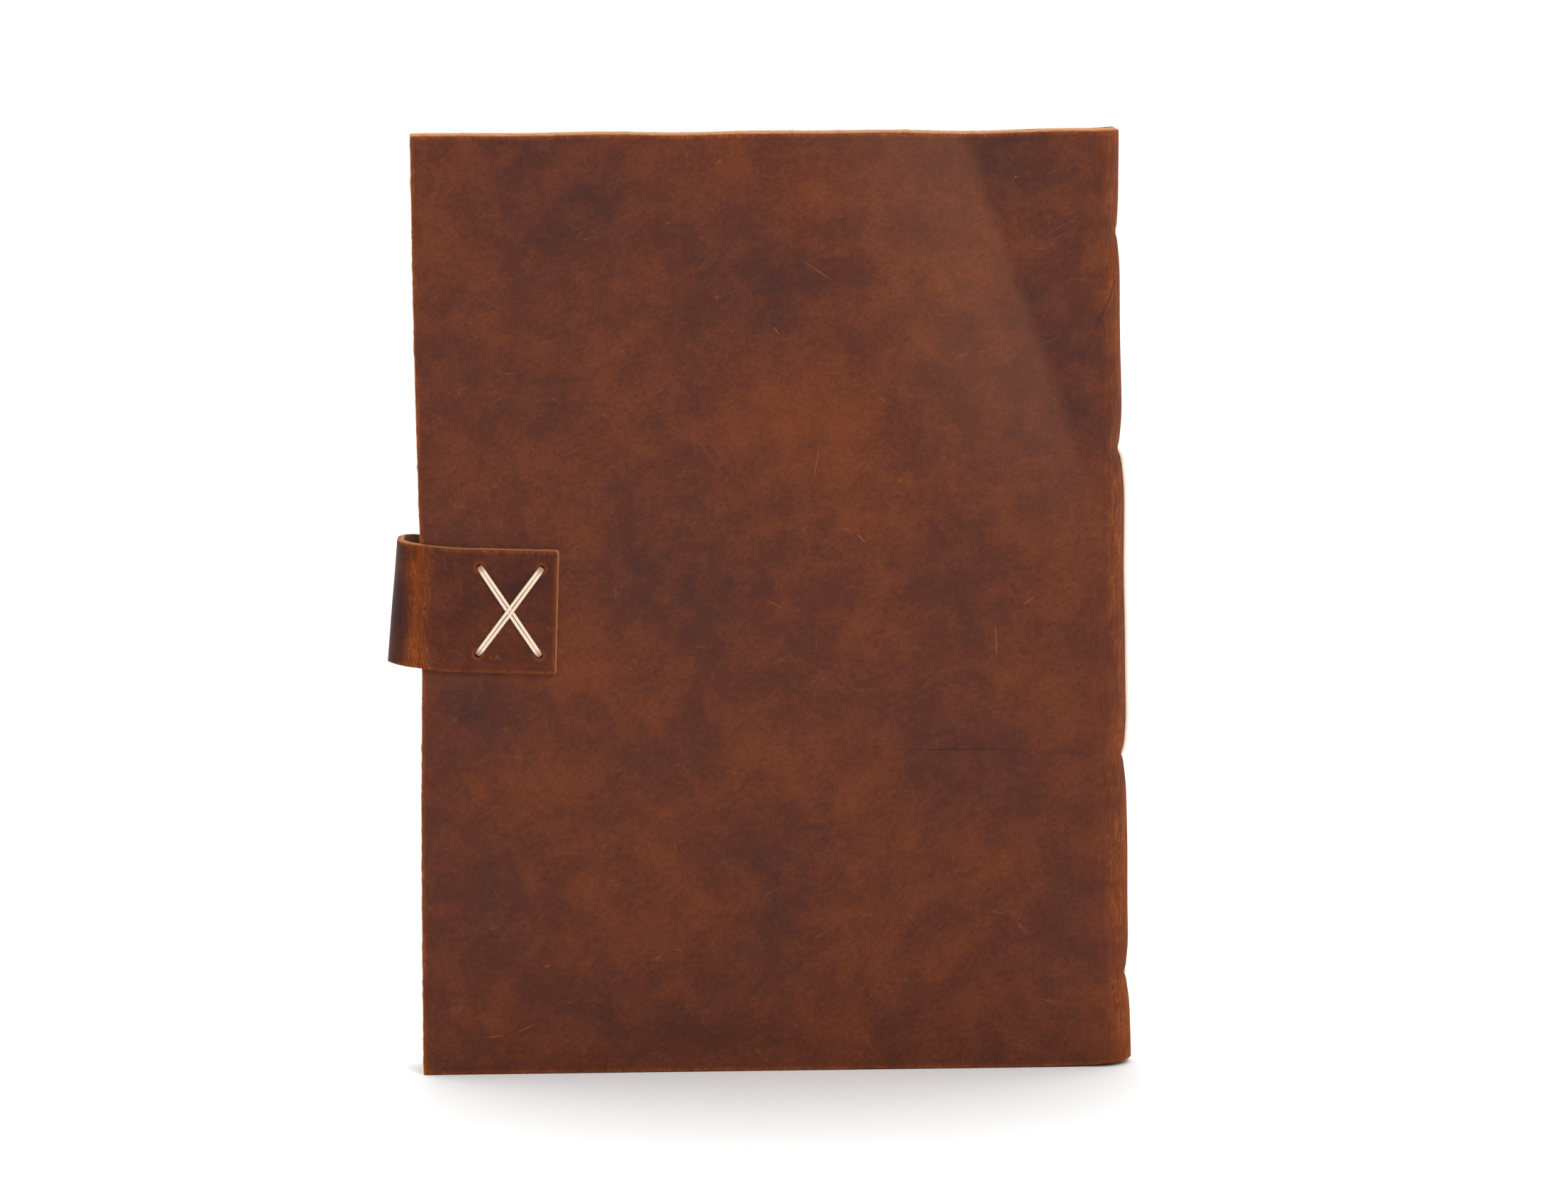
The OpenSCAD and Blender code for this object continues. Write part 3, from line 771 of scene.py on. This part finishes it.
def cover_fuzz(name, back, material):
    """Loose fibres that stand past the head and fore-edge of a cover: thin curled slivers."""
    rng = random.Random(name)
    points, faces, flats = [], [], []
    for _ in range(FUZZ_COUNT):
        depth = LEATHER * (0.55 + 0.4 * rng.random())
        on_fore = rng.random() < 0.35
        from_fore = 0.5 if on_fore else rng.uniform(2.0, PANEL - 12.0)
        u = from_fore if back else COVER_LENGTH - from_fore
        v = rng.uniform(4.0, HEIGHT - 4.0) if on_fore else HEIGHT - 0.5
        foot = cover_place(np.array([u]), np.array([v]), np.array([depth]))[0]
        away = np.array((-1.0, 0.0, 0.0)) if on_fore else np.array((0.0, 0.0, 1.0))
        away = away + np.array([rng.uniform(-0.5, 0.5) for _ in range(3)])
        side = np.cross(away, (0, 1, 0))
        side = side / np.linalg.norm(side)
        length = 0.35 + 0.6 * rng.random() ** 2
        width = 0.05 + 0.05 * rng.random()
        curl = rng.uniform(-0.8, 0.8)
        start = len(points)
        for t in (0.0, 0.35, 0.7, 1.0):
            middle = foot + away * length * t + side * curl * length * t * t
            for edge in (-1, 1):
                points.append(middle + edge * side * width * (1 - 0.75 * t) / 2)
                flats.append((u, v, t))
        faces += [(a, a + 1, a + 3, a + 2) for a in range(start, start + 6, 2)]
    return new_object(name, points, faces, [material], flat=flats)


# ---- the strap


def to_world(x, y, z):
    """From the strap's own frame to the row frame, in mm."""
    x, y, z = (np.asarray(a, float) for a in (x, y, z))
    return PIVOT + x[..., None] * ALONG + y[..., None] * np.array((0, 1, 0)) + z[..., None] * ACROSS


def strap_outline(u, depth):
    """Plan of the strap: u runs from its sewn end, round the loop, to its free end."""
    radius = STRAP_R - depth
    first = np.clip((u - ANCHOR_RUN) / STRAP_R, 0, math.pi / 2)
    second = np.clip((u - ANCHOR_RUN - STRAP_BEND_RUN - LOOP_RUN) / STRAP_R, 0, math.pi / 2)
    middle = np.clip(u - ANCHOR_RUN - STRAP_BEND_RUN, 0, LOOP_RUN)
    before = np.maximum(ANCHOR_RUN - u, 0)
    after = np.maximum(u - ANCHOR_RUN - 2 * STRAP_BEND_RUN - LOOP_RUN, 0)
    angle = -math.pi / 2 - first - second
    x = BEND_IN + radius * np.cos(angle) + before + after
    y = BACK_BEND_Y + middle + radius * np.sin(angle)
    return x, y


def strap_place(u, v, depth):
    # the loop stands out more at its foot, and the sewn holes are drawn in
    height = v / (STRAP_W / 2)
    in_loop = smooth((u - ANCHOR_RUN) / 12.0) * smooth((STRAP_LENGTH - TAB_RUN - u) / 12.0)
    sag = 1.2 * -height * in_loop
    climb = 2.0 * smooth((u - ANCHOR_RUN + 15) / 30) * (1 - 0.6 * smooth((u - STRAP_MID_U) / 35))
    climb = climb - 0.25 * height * in_loop
    out = np.zeros_like(u)
    for hole_u, hole_v in HOLES:
        away = np.hypot(u - hole_u, v - hole_v)
        out = out - 0.55 * bump(away, 0, 1.5) * (u < ANCHOR_RUN)
        out = out + 0.18 * bump(away, 3.2, 1.5)
    puff = bump(u, ANCHOR_RUN - 3.0, 9.0) * (1 - height**2)
    out = out + 0.35 * puff + ripple(u * 0.8 + v, 23, (31.0, 47.0), 0.12)
    x, y = strap_outline(u, depth - out)
    return to_world(x - sag, y, v + climb)


def strap_pull(u, v):
    """Wear: at the strap's two bends and along its cut edges."""
    at_first = bump(u, ANCHOR_RUN - 0.5, 3.6)
    at_second = bump(u, ANCHOR_RUN + STRAP_BEND_RUN * 1.6 + LOOP_RUN, 5.0)
    edge = np.minimum(np.minimum(u, STRAP_LENGTH - u), STRAP_W / 2 - np.abs(v))
    return np.clip(0.55 * at_first + 0.5 * at_second + 0.4 * bump(edge, 0.0, 0.8), 0, 1)


def strap_sheet(sewn):
    """One half of the strap, up to the middle of its loop."""
    step, seam_strip = 0.6, 0.06
    if sewn:
        limits = (0.0, STRAP_MID_U)
        lines = np.append(graded(0.0, STRAP_MID_U - seam_strip, step, fine_high=False), STRAP_MID_U)
    else:
        limits = (STRAP_MID_U, STRAP_LENGTH)
        free = graded(STRAP_MID_U + seam_strip, STRAP_LENGTH, step, fine_low=False)
        lines = np.append(STRAP_MID_U, free)
    return {
        "u": limits,
        "v": (-STRAP_W / 2, STRAP_W / 2),
        "seam": STRAP_MID_U,
        "corner": 1.0,
        "seed": 9,
        "ragged": 0.08,
        "place": strap_place,
        "pull": strap_pull,
        "bevel": (0.75 * sewn, 0.6 * (not sewn), 0.2, 0.55),
        "lines": (lines, graded(-STRAP_W / 2, STRAP_W / 2, step)),
        "flip": True,
    }


# ---- thread

PLIES = 3
LAY = 4.2
THREAD_SIDES = 18


def resampled(route, step):
    """Points a step apart along a route that is rounded by cutting its corners."""
    route = np.asarray(route, float)
    for _ in range(3):
        cut = [route[0]]
        for a, b in zip(route, route[1:]):
            cut += [0.75 * a + 0.25 * b, 0.25 * a + 0.75 * b]
        route = np.array(cut + [route[-1]])
    gaps = np.linalg.norm(np.diff(route, axis=0), axis=1)
    places = np.concatenate([[0], np.cumsum(gaps)])
    even = np.linspace(0, places[-1], max(3, int(places[-1] / step)))
    return np.stack([np.interp(even, places, route[:, k]) for k in range(3)], 1), even


def twisted_thread(name, routes, material, grime_at=()):
    """Waxed thread: a tube whose section has one lobe for each ply, turning once in each lay.

    routes are (points, diameter) pairs.
    """
    sides = THREAD_SIDES
    all_points, all_faces, flats, grooves, grimes = ([] for _ in range(5))
    for route, diameter in routes:
        line, places = resampled(route, 0.22)
        heading = np.gradient(line, axis=0)
        heading /= np.linalg.norm(heading, axis=1)[:, None]
        across = np.cross(heading[0], (0.31, 0.2, 0.93))
        start = len(all_points)
        for k, (p, d) in enumerate(zip(line, heading)):
            across = across - d * across.dot(d)
            across /= np.linalg.norm(across)
            other = np.cross(d, across)
            from_end = min(k, len(line) - 1 - k)
            taper = min(1.0, 0.55 + 1.4 * from_end / len(line) * 8)
            near = min((np.linalg.norm(p - g) for g in grime_at), default=99.0)
            for side in range(sides):
                angle = 2 * math.pi * side / sides
                lobe = math.cos(PLIES * (angle - 2 * math.pi * places[k] / LAY))
                radius = diameter / 2 * (0.96 + 0.04 * lobe) * taper
                all_points.append(p + radius * (math.cos(angle) * across + math.sin(angle) * other))
                flats.append((places[k], angle, 0.0))
                # how much painted shade lies in the groove between plies here
                grooves.append(max(0.0, -lobe) ** 1.5)
                grimes.append(float(smooth((2.6 - near) / 2.2)))
        for k in range(len(line) - 1):
            for side in range(sides):
                a, b = start + k * sides + side, start + k * sides + (side + 1) % sides
                all_faces.append((a, b, b + sides, a + sides))
        all_faces.append(tuple(start + s for s in reversed(range(sides))))
        all_faces.append(tuple(start + (len(line) - 1) * sides + s for s in range(sides)))
    values = {"flat": flats, "groove": grooves, "grime": grimes}
    return new_object(name, all_points, all_faces, [material], **values)


def strap_route(points):
    """A route in the strap's own frame, turned into the row frame."""
    return to_world(*np.transpose(points))


def cross_routes():
    """Four strands over the strap, two to each diagonal: one pair passes over the other."""
    # how a strand comes up through its hole: how far along it is, and its y
    sink = ((0.0, INNER_Y - 0.6), (0.0, OUTER_Y + 1.2), (0.15, OUTER_Y + 0.1), (1.1, OUTER_Y - 0.38))
    routes = []
    for way, hump in ((-1, 0.0), (1, 0.95)):
        start = np.array((CROSS_X - CROSS_W / 2, -way * CROSS_H / 2))
        end = np.array((CROSS_X + CROSS_W / 2, way * CROSS_H / 2))
        length = np.linalg.norm(end - start)
        d = (end - start) / length
        n = np.array((-d[1], d[0]))
        for strand in (-1, 1):
            path = [(start + d * along, y) for along, y in sink]
            for t in np.linspace(0.12, 0.88, 13):
                arch = math.sin(math.pi * t)
                slack = 0.16 * arch + hump * math.exp(-(((t - 0.5) * length / 2.6) ** 2))
                bow = 0.22 * strand * arch - 0.10 * strand
                path.append((start + d * length * t + n * bow * 0.5, OUTER_Y - THREAD / 2 - slack + 0.04))
            path += [(end - d * along, y) for along, y in reversed(sink)]
            route = []
            for (x, z), y in path:
                spread = strand * (0.56 if y < OUTER_Y - 0.2 else 0.40)
                route.append((x + n[0] * spread, y, z + n[1] * spread))
            routes.append((strap_route(route), THREAD))
    return routes


def inside_routes():
    """The same thread behind the back cover: two upright runs of two strands between the holes."""
    y = INNER_Y + THREAD / 2
    top = CROSS_H / 2
    routes = []
    for side, strand in CROSS_SIDES:
        x = CROSS_X + side * CROSS_W / 2 + strand * 0.5
        route = [(x, y - 1.2, -top), (x, y, -top + 1.2), (x + 0.2 * strand, y, 0)]
        route += [(x, y, top - 1.2), (x, y - 1.2, top)]
        routes.append((strap_route(route), THREAD * 0.92))
    return routes


def knot_route():
    """A flat overhand knot on the inside run next to the fore-edge."""
    y = INNER_Y + 0.62
    route = []
    for t in [2 * math.pi * k / 39 * 0.96 for k in range(40)]:
        x = 1.25 * (math.sin(t) + 0.8 * math.sin(2 * t))
        z = 1.05 * (math.cos(t) - 0.9 * math.cos(2 * t))
        route.append((CROSS_X - CROSS_W / 2 + x, y + 0.14 * math.sin(3 * t), z))
    return [(strap_route(route), 0.8)]


def spine_point(line_y, v, lift):
    """A point outside the spine, on the line of stitches, lift mm off the leather there."""
    u = np.array([MID_U + math.asin(line_y / SPINE_R) * SPINE_R])
    return cover_place(u, np.array([float(v)]), np.array([-lift]))[0]


def long_stitch_route(k):
    """Signature k's thread outside the spine, taut from the second station to the third."""
    y = (2 - k) * STITCH_PITCH
    high, low = STATIONS[1], STATIONS[2]
    on_spine = SPINE_X + math.sqrt((SPINE_R + THREAD / 2) ** 2 - y * y)
    inside = -LEATHER - 0.6
    route = [spine_point(y, high, inside), spine_point(y, high, -0.2), spine_point(y, high - 0.8, 0.30)]
    for t in np.linspace(0.03, 0.97, 22):
        v = high + (low - high) * t
        taut = on_spine - 0.5 * bump(t, 0, 0.12) - 0.8 * bump(t, 1, 0.12)
        x = max(spine_point(y, v, 0.0)[0] + THREAD / 2, taut)
        route.append(np.array((x, MID_Y + y + 0.12 * math.sin(9 * t + k), v)))
    route += [spine_point(y, low + 0.8, 0.30), spine_point(y, low, -0.2), spine_point(y, low, inside)]
    return [(np.array(route), THREAD)]


def link_route(k, z):
    """The short link from signature k to the next one at an end station."""
    start, end = (2 - k) * STITCH_PITCH, (1 - k) * STITCH_PITCH
    route = [spine_point(start, z, -LEATHER - 0.6), spine_point(start, z, -0.3)]
    route += [spine_point(start + (end - start) * t, z, 0.22) for t in (0.15, 0.4, 0.6, 0.85)]
    route += [spine_point(end, z, -0.3), spine_point(end, z, -LEATHER - 0.6)]
    return [(np.array(route), THREAD * 0.95)]


# ---- pages

SHEETS = 10
PAPER = 0.13


def page_profile(high_x, half, fore, sheet):
    """Section of one folded sheet: (x, y, outward x, outward y), round from one leaf to the other."""
    radius = half - (half - 0.3) * sheet / (SHEETS - 1) - PAPER
    tip = high_x - (half - radius) * 0.96
    length = tip - radius - fore
    profile = [(fore + length * t, -radius, 0.0, -1.0) for t in np.linspace(0, 1, 12)]
    for a in np.linspace(-90, 90, 11)[1:-1]:
        c, s = math.cos(math.radians(a)), math.sin(math.radians(a))
        profile.append((tip - radius + radius * c, radius * s, c, s))
    skew = 0.06 * math.sin(sheet)
    profile += [(fore + length * t + skew, radius, 0.0, 1.0) for t in np.linspace(1, 0, 12)]
    return profile


def signature_pages(name, node, material, seed):
    """A folded section: nested folded sheets, each a thin bent strip, a little uneven at its edges."""
    low, high = box_mm(node)
    rng = random.Random(seed)
    middle_y = (low[1] + high[1]) / 2
    half = (high[1] - low[1]) / 2
    rows = np.linspace(low[2], high[2], 15)
    points, faces, flats = [], [], []
    for sheet in range(SHEETS):
        fore = low[0] + rng.uniform(0.0, 0.25) + 0.25 * (sheet / SHEETS)
        profile = page_profile(high[0], half, fore, sheet)
        count, base = len(profile), len(points)
        head_drop = rng.uniform(0.0, 0.16)
        for offset in (0.0, PAPER):
            for row, z in enumerate(rows):
                lift = z - head_drop * (row == len(rows) - 1)
                for x, y, nx, ny in profile:
                    open_share = (high[0] - x) / (high[0] - low[0])
                    wave = 0.05 * math.sin(z * 0.021 + sheet * 0.7 + seed) * open_share
                    points.append((x + nx * offset, middle_y + y + ny * offset + wave, lift))
                    flats.append((x, z + 400 * sheet, 3.0 * np.sign(ny)))
        layer = count * len(rows)
        for row in range(len(rows) - 1):
            first = base + row * count
            for a in range(first, first + count - 1):
                b = a + layer
                faces.append((a, a + count, a + count + 1, a + 1))
                faces.append((b, b + 1, b + count + 1, b + count))
            for a, turn in ((first, 1), (first + count - 1, -1)):
                faces.append((a, a + layer, a + layer + count, a + count)[::turn])
        for row, turn in ((0, 1), (len(rows) - 1, -1)):
            first = base + row * count
            for a in range(first, first + count - 1):
                faces.append((a, a + 1, a + layer + 1, a + layer)[::turn])
    obj = new_object(name, points, faces, [material], flat=flats)
    crisp_by_angle(obj, 40)
    return obj


# ---- the snap


def cap_profile(radius, rise, lip, steps=14):
    """Rim, rolled lip and dome of a snap's cap."""
    profile = [(radius - 0.7, 0.0), (radius - 0.2, 0.02), (radius, 0.22), (radius - 0.02, lip)]
    profile += [(radius - 0.22, lip + 0.16), (radius - 0.55, lip + 0.14), (radius - 0.75, lip + 0.06)]
    foot = lip + 0.1
    for k in range(1, steps + 1):
        t = k / steps
        flat = (radius - 0.9) * math.cos(t * math.pi / 2 * 0.98)
        profile.append((flat, foot + (rise - lip - 0.1) * math.sin(t * math.pi / 2)))
    return profile


# (radius, height) pairs in mm
STUD = [(5.6, 0.0), (6.0, 0.12), (6.0, 0.35), (5.7, 0.55), (4.6, 0.62), (4.3, 0.5), (2.9, 0.5), (2.3, 0.75)]
STUD += [(2.2, 1.1), (2.45, 1.3), (2.7, 1.5), (2.68, 1.75), (2.4, 2.0), (1.8, 2.1), (1.2, 2.0)]
SOCKET = [(1.0, 1.1), (3.4, 1.1), (3.4, 0.25), (3.7, 0.02), (4.3, 0.0), (4.7, 0.3), (5.4, 0.45), (5.9, 0.8)]
SOCKET += [(6.3, 1.2), (6.3, 1.6), (6.0, 1.8)]
EYELET = [(1.0, 0.25), (1.4, 0.06), (2.0, 0.0), (3.8, 0.0), (4.25, 0.15), (4.4, 0.4), (4.3, 0.6)]


def turned_part(name, profile, y_base, material, sides=72):
    """A part turned about the snap's own axis: heights of its profile run along +Y from y_base."""
    points, faces = [], []
    for radius, height in profile:
        for angle in [2 * math.pi * k / sides for k in range(sides)]:
            x, z = radius * math.cos(angle), radius * math.sin(angle)
            points.append(to_world(SNAP_X + x, y_base + height, z))
    around = [(k, (k + 1) % sides) for k in range(sides)]
    for start in range(0, (len(profile) - 1) * sides, sides):
        faces += [(start + a, start + a + sides, start + b + sides, start + b) for a, b in around]
    for ring, turn in ((0, 1), (len(profile) - 1, -1)):
        start, centre = ring * sides, len(points)
        points.append(to_world(SNAP_X, y_base + profile[ring][1], 0.0))
        faces += [(start + a, start + b, centre)[::turn] for a, b in around]
    obj = new_object(name, np.array(points), faces, [material])
    crisp_by_angle(obj, 35)
    return obj


# ---- camera, light and floor


def camera():
    pitch, yaw, roll = (math.radians(a) for a in (6.5, 1.5, 0.45))
    distance, pixels_across, focal_px = 2.0, 2212, 8680
    target = np.array((0.00795, 0.0, 0.1545))
    back = np.array((-math.sin(yaw) * math.cos(pitch), -math.cos(yaw) * math.cos(pitch), math.sin(pitch)))
    data = bpy.data.cameras.new("camera")
    data.sensor_width = 36.0
    data.lens = focal_px / pixels_across * data.sensor_width
    obj = add_object("camera", data)
    obj.location = target + distance * back
    obj.rotation_euler = (math.pi / 2 - pitch, 0, -yaw)
    look = obj.rotation_euler.to_matrix()
    obj.rotation_euler = (look @ Matrix.Rotation(-roll, 3, "Z")).to_euler()
    bpy.context.scene.camera = obj


def area_light(name, place, aim, size, power):
    data = bpy.data.lights.new(name, "AREA")
    data.shape = "RECTANGLE"
    data.size, data.size_y = size
    data.energy = power
    obj = add_object(name, data)
    obj.location = place
    obj.rotation_euler = (Vector(aim) - Vector(place)).to_track_quat("-Z", "Y").to_euler()


def studio():
    world = bpy.data.worlds.new("studio")
    bpy.context.scene.world = world
    world.use_nodes = True
    nodes, links = world.node_tree.nodes, world.node_tree.links
    # the surroundings are brighter behind the object than in front of it
    split = nodes.new("ShaderNodeSeparateXYZ")
    links.new(nodes.new("ShaderNodeTexCoord").outputs["Generated"], split.inputs[0])
    rise = nodes.new("ShaderNodeMapRange")
    rise.interpolation_type = "SMOOTHSTEP"
    links.new(split.outputs["Y"], rise.inputs["Value"])
    for name, value in (("From Min", -0.25), ("From Max", 0.5), ("To Min", 0.14), ("To Max", 1.02)):
        rise.inputs[name].default_value = value
    background = nodes["Background"]
    links.new(rise.outputs[0], background.inputs["Strength"])
    background.inputs["Color"].default_value = (1, 1, 1, 1)

    area_light("key", (0.9, -1.9, 1.8), (0, 0, 0.15), (1.1, 0.9), 36)
    area_light("side", (-1.2, -2.0, 1.0), (0, 0, 0.15), (0.6, 1.2), 5)
    sky = bpy.data.lights.new("overhead", "SUN")
    sky.energy = 2.0
    sky.angle = math.radians(70)
    add_object("overhead", sky).rotation_euler = (math.radians(-12), math.radians(-6), 0)

    mesh = bpy.data.meshes.new("floor")
    reach = 12.0
    corners = [(-reach, -reach, 0), (reach, -reach, 0), (reach, reach, 0), (-reach, reach, 0)]
    mesh.from_pydata(corners, [], [(0, 1, 2, 3)])
    white = Tree("floor_white").finish((0.93, 0.93, 0.93), 0.6, Specular_IOR_Level=0.2)
    mesh.materials.append(white)
    add_object("floor", mesh)
    bpy.context.scene.view_settings.view_transform = "Standard"


# ---- build

# strokes on the flat cover: start, end and width in mm
LIGHT_STROKES = (
    ((142, 176), (145.5, 172.5), 0.35),
    ((137.5, 178), (140.5, 176.5), 0.3),
    ((124, 265), (136, 257), 0.25),
    ((187, 147), (187.5, 133), 0.3),
    ((30, 13.5), (38, 17), 0.3),
    ((20, 12), (27, 13), 0.25),
    ((116, 243), (118, 240), 0.4),
    ((149, 221), (152.5, 217.5), 0.25),
    ((112, 155), (119, 151.5), 0.2),
    ((131, 208), (128, 190), 0.2),
)
DARK_STROKES = (
    ((233, 263.5), (217, 237.5), 0.6),
    ((152, 105.2), (199, 105), 0.3),
)

# ovals on the flat leather: middle and half size in mm, and how much lighter or darker
COVER_PATCHES = (
    ((45, 270), (60, 34), -0.05),
    ((100, 262), (30, 42), -0.08),
    ((212, 262), (24, 60), -0.05),
    ((120, 196), (34, 60), 0.05),
    ((25, 118), (26, 22), -0.09),
    ((40, 80), (40, 46), 0.02),
    ((60, 44), (34, 16), 0.07),
    ((170, 55), (60, 30), 0.05),
    ((86, 225), (26, 26), -0.05),
)
STRAP_PATCHES_AND_PAINTED_SHADE = (
    ((6, 0), (20, 40), -0.04),
    # painted shade across the loop's first bend, where the leather turns away from the light
    ((ANCHOR_RUN + 8, 0), (8, 60), -0.15),
    ((ANCHOR_RUN - 9, 14), (8, 12), -0.06),
    ((12.5, 8), (5, 4), -0.10),
)


def stands_for(obj, slot, *nodes, body=None):
    """The object is shown in place of CAD nodes, and rides on a body unless it is blended."""
    if body:
        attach(obj, body)
    if nodes:
        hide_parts(*nodes)


def bent_half(name, sheet, materials, body, next_body, bend):
    """Half of the cover or of the strap, blended from one body to the next over its bend."""
    half = leather_piece(name, sheet, materials)
    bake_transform(half, body, next_body, start=bend[0] * MM, end=bend[1] * MM)
    return half


def repaint(node, material):
    """A CAD node that is kept as it is, in a material."""
    materials = frame["nodes"][node].data.materials
    materials.clear()
    materials.append(material)


def build_leather():
    flesh = leather_flesh("leather_flesh")
    grain = leather_grain("cover_grain", 1, COVER_PATCHES, 0.22, LIGHT_STROKES, DARK_STROKES, ridge=True)
    cover = [grain, flesh, leather_cut("cover_cut", 0.18)]
    grain = leather_grain("strap_grain", 2, STRAP_PATCHES_AND_PAINTED_SHADE, 0.15, holes=HOLES, warmth=-0.05)
    strap = [grain, flesh, leather_cut("strap_cut", 0.45)]

    # each bend runs between two points on the outside of the leather
    spine_start, spine_middle, spine_end = (
        np.array((SPINE_X + dx, MID_Y + dy, 0)) for dx, dy in ((0, -SPINE_R), (SPINE_R, 0), (0, SPINE_R))
    )
    bend = (spine_start, spine_middle)
    half = bent_half("cover_leather_back", cover_sheet(True), cover, "back_cover", "spine", bend)
    stands_for(half, "cover_leather", "cover_back", "cover_spine")
    bend = (spine_middle, spine_end)
    half = bent_half("cover_leather_front", cover_sheet(False), cover, "spine", "front_cover", bend)
    stands_for(half, "cover_leather", "cover_front")
    for side in ("back", "front"):
        hairs = cover_fuzz(f"edge_fuzz_{side}", side == "back", flesh)
        stands_for(hairs, "cover_leather", body=f"{side}_cover")

    bend = (to_world(BEND_IN, OUTER_Y, 0), to_world(LOOP_X, BACK_BEND_Y, 0))
    half = bent_half("strap_leather_sewn", strap_sheet(True), strap, "back_cover", "strap_bend", bend)
    stands_for(half, "strap_leather", "strap_anchor", "strap_bend")
    bend = (to_world(LOOP_X, FRONT_BEND_Y, 0), to_world(BEND_IN, FRONT_BEND_Y + STRAP_R, 0))
    half = bent_half("strap_leather_free", strap_sheet(False), strap, "strap_bend", "strap_tab", bend)
    stands_for(half, "strap_leather", "strap_tab")


def build_sewing_and_pages():
    thread = waxed_thread("waxed_thread")
    paper = page_paper("page_paper")
    corners = [to_world(CROSS_X + sx * CROSS_W / 2, OUTER_Y, sz * CROSS_H / 2) for sx, sz in CROSS_SIDES]

    def sew(name, node, body, routes, grime_at=()):
        stands_for(twisted_thread(name, routes, thread, grime_at), "waxed_thread", node, body=body)

    sew("cross_thread", "cross_stitch", "back_cover", cross_routes() + inside_routes(), corners)
    sew("cross_thread_knot", "cross_stitch_knot", "back_cover", knot_route())
    for k in (1, 2, 3):
        sew(f"spine_thread_{k}", f"long_stitch_{k}", "spine", long_stitch_route(k))
        pages = signature_pages(f"signature_pages_{k}", f"signature_{k}", paper, k)
        stands_for(pages, "page_paper", f"signature_{k}", body=f"signature_{k}")
        repaint(f"fold_thread_{k}", thread)
    for end, k, z in (("head", 1, STATIONS[0]), ("tail", 2, STATIONS[3])):
        sew(f"link_thread_{end}", f"link_stitch_{end}", "spine", link_route(k, z))


def build_snap():
    brass = antique_brass("antique_brass")
    tab_out = FRONT_BEND_Y + STRAP_R
    front_face = MID_Y + SPINE_R - PIVOT[1]
    parts = (
        ("snap_cap", cap_profile(6.2, 1.6, 0.5), tab_out, "strap_tab"),
        ("snap_stud", STUD, front_face, "front_cover"),
        ("snap_socket", SOCKET, tab_out - LEATHER - 1.8, "strap_tab"),
        ("snap_eyelet", EYELET, front_face - LEATHER - 0.6, "front_cover"),
    )
    for node, profile, y_base, body in parts:
        stands_for(turned_part(f"{node}_shell", profile, y_base, brass), "snap_brass", node, body=body)
    repaint("snap_spring", spring_steel("spring_steel"))


camera()
studio()
build_leather()
build_sewing_and_pages()
build_snap()
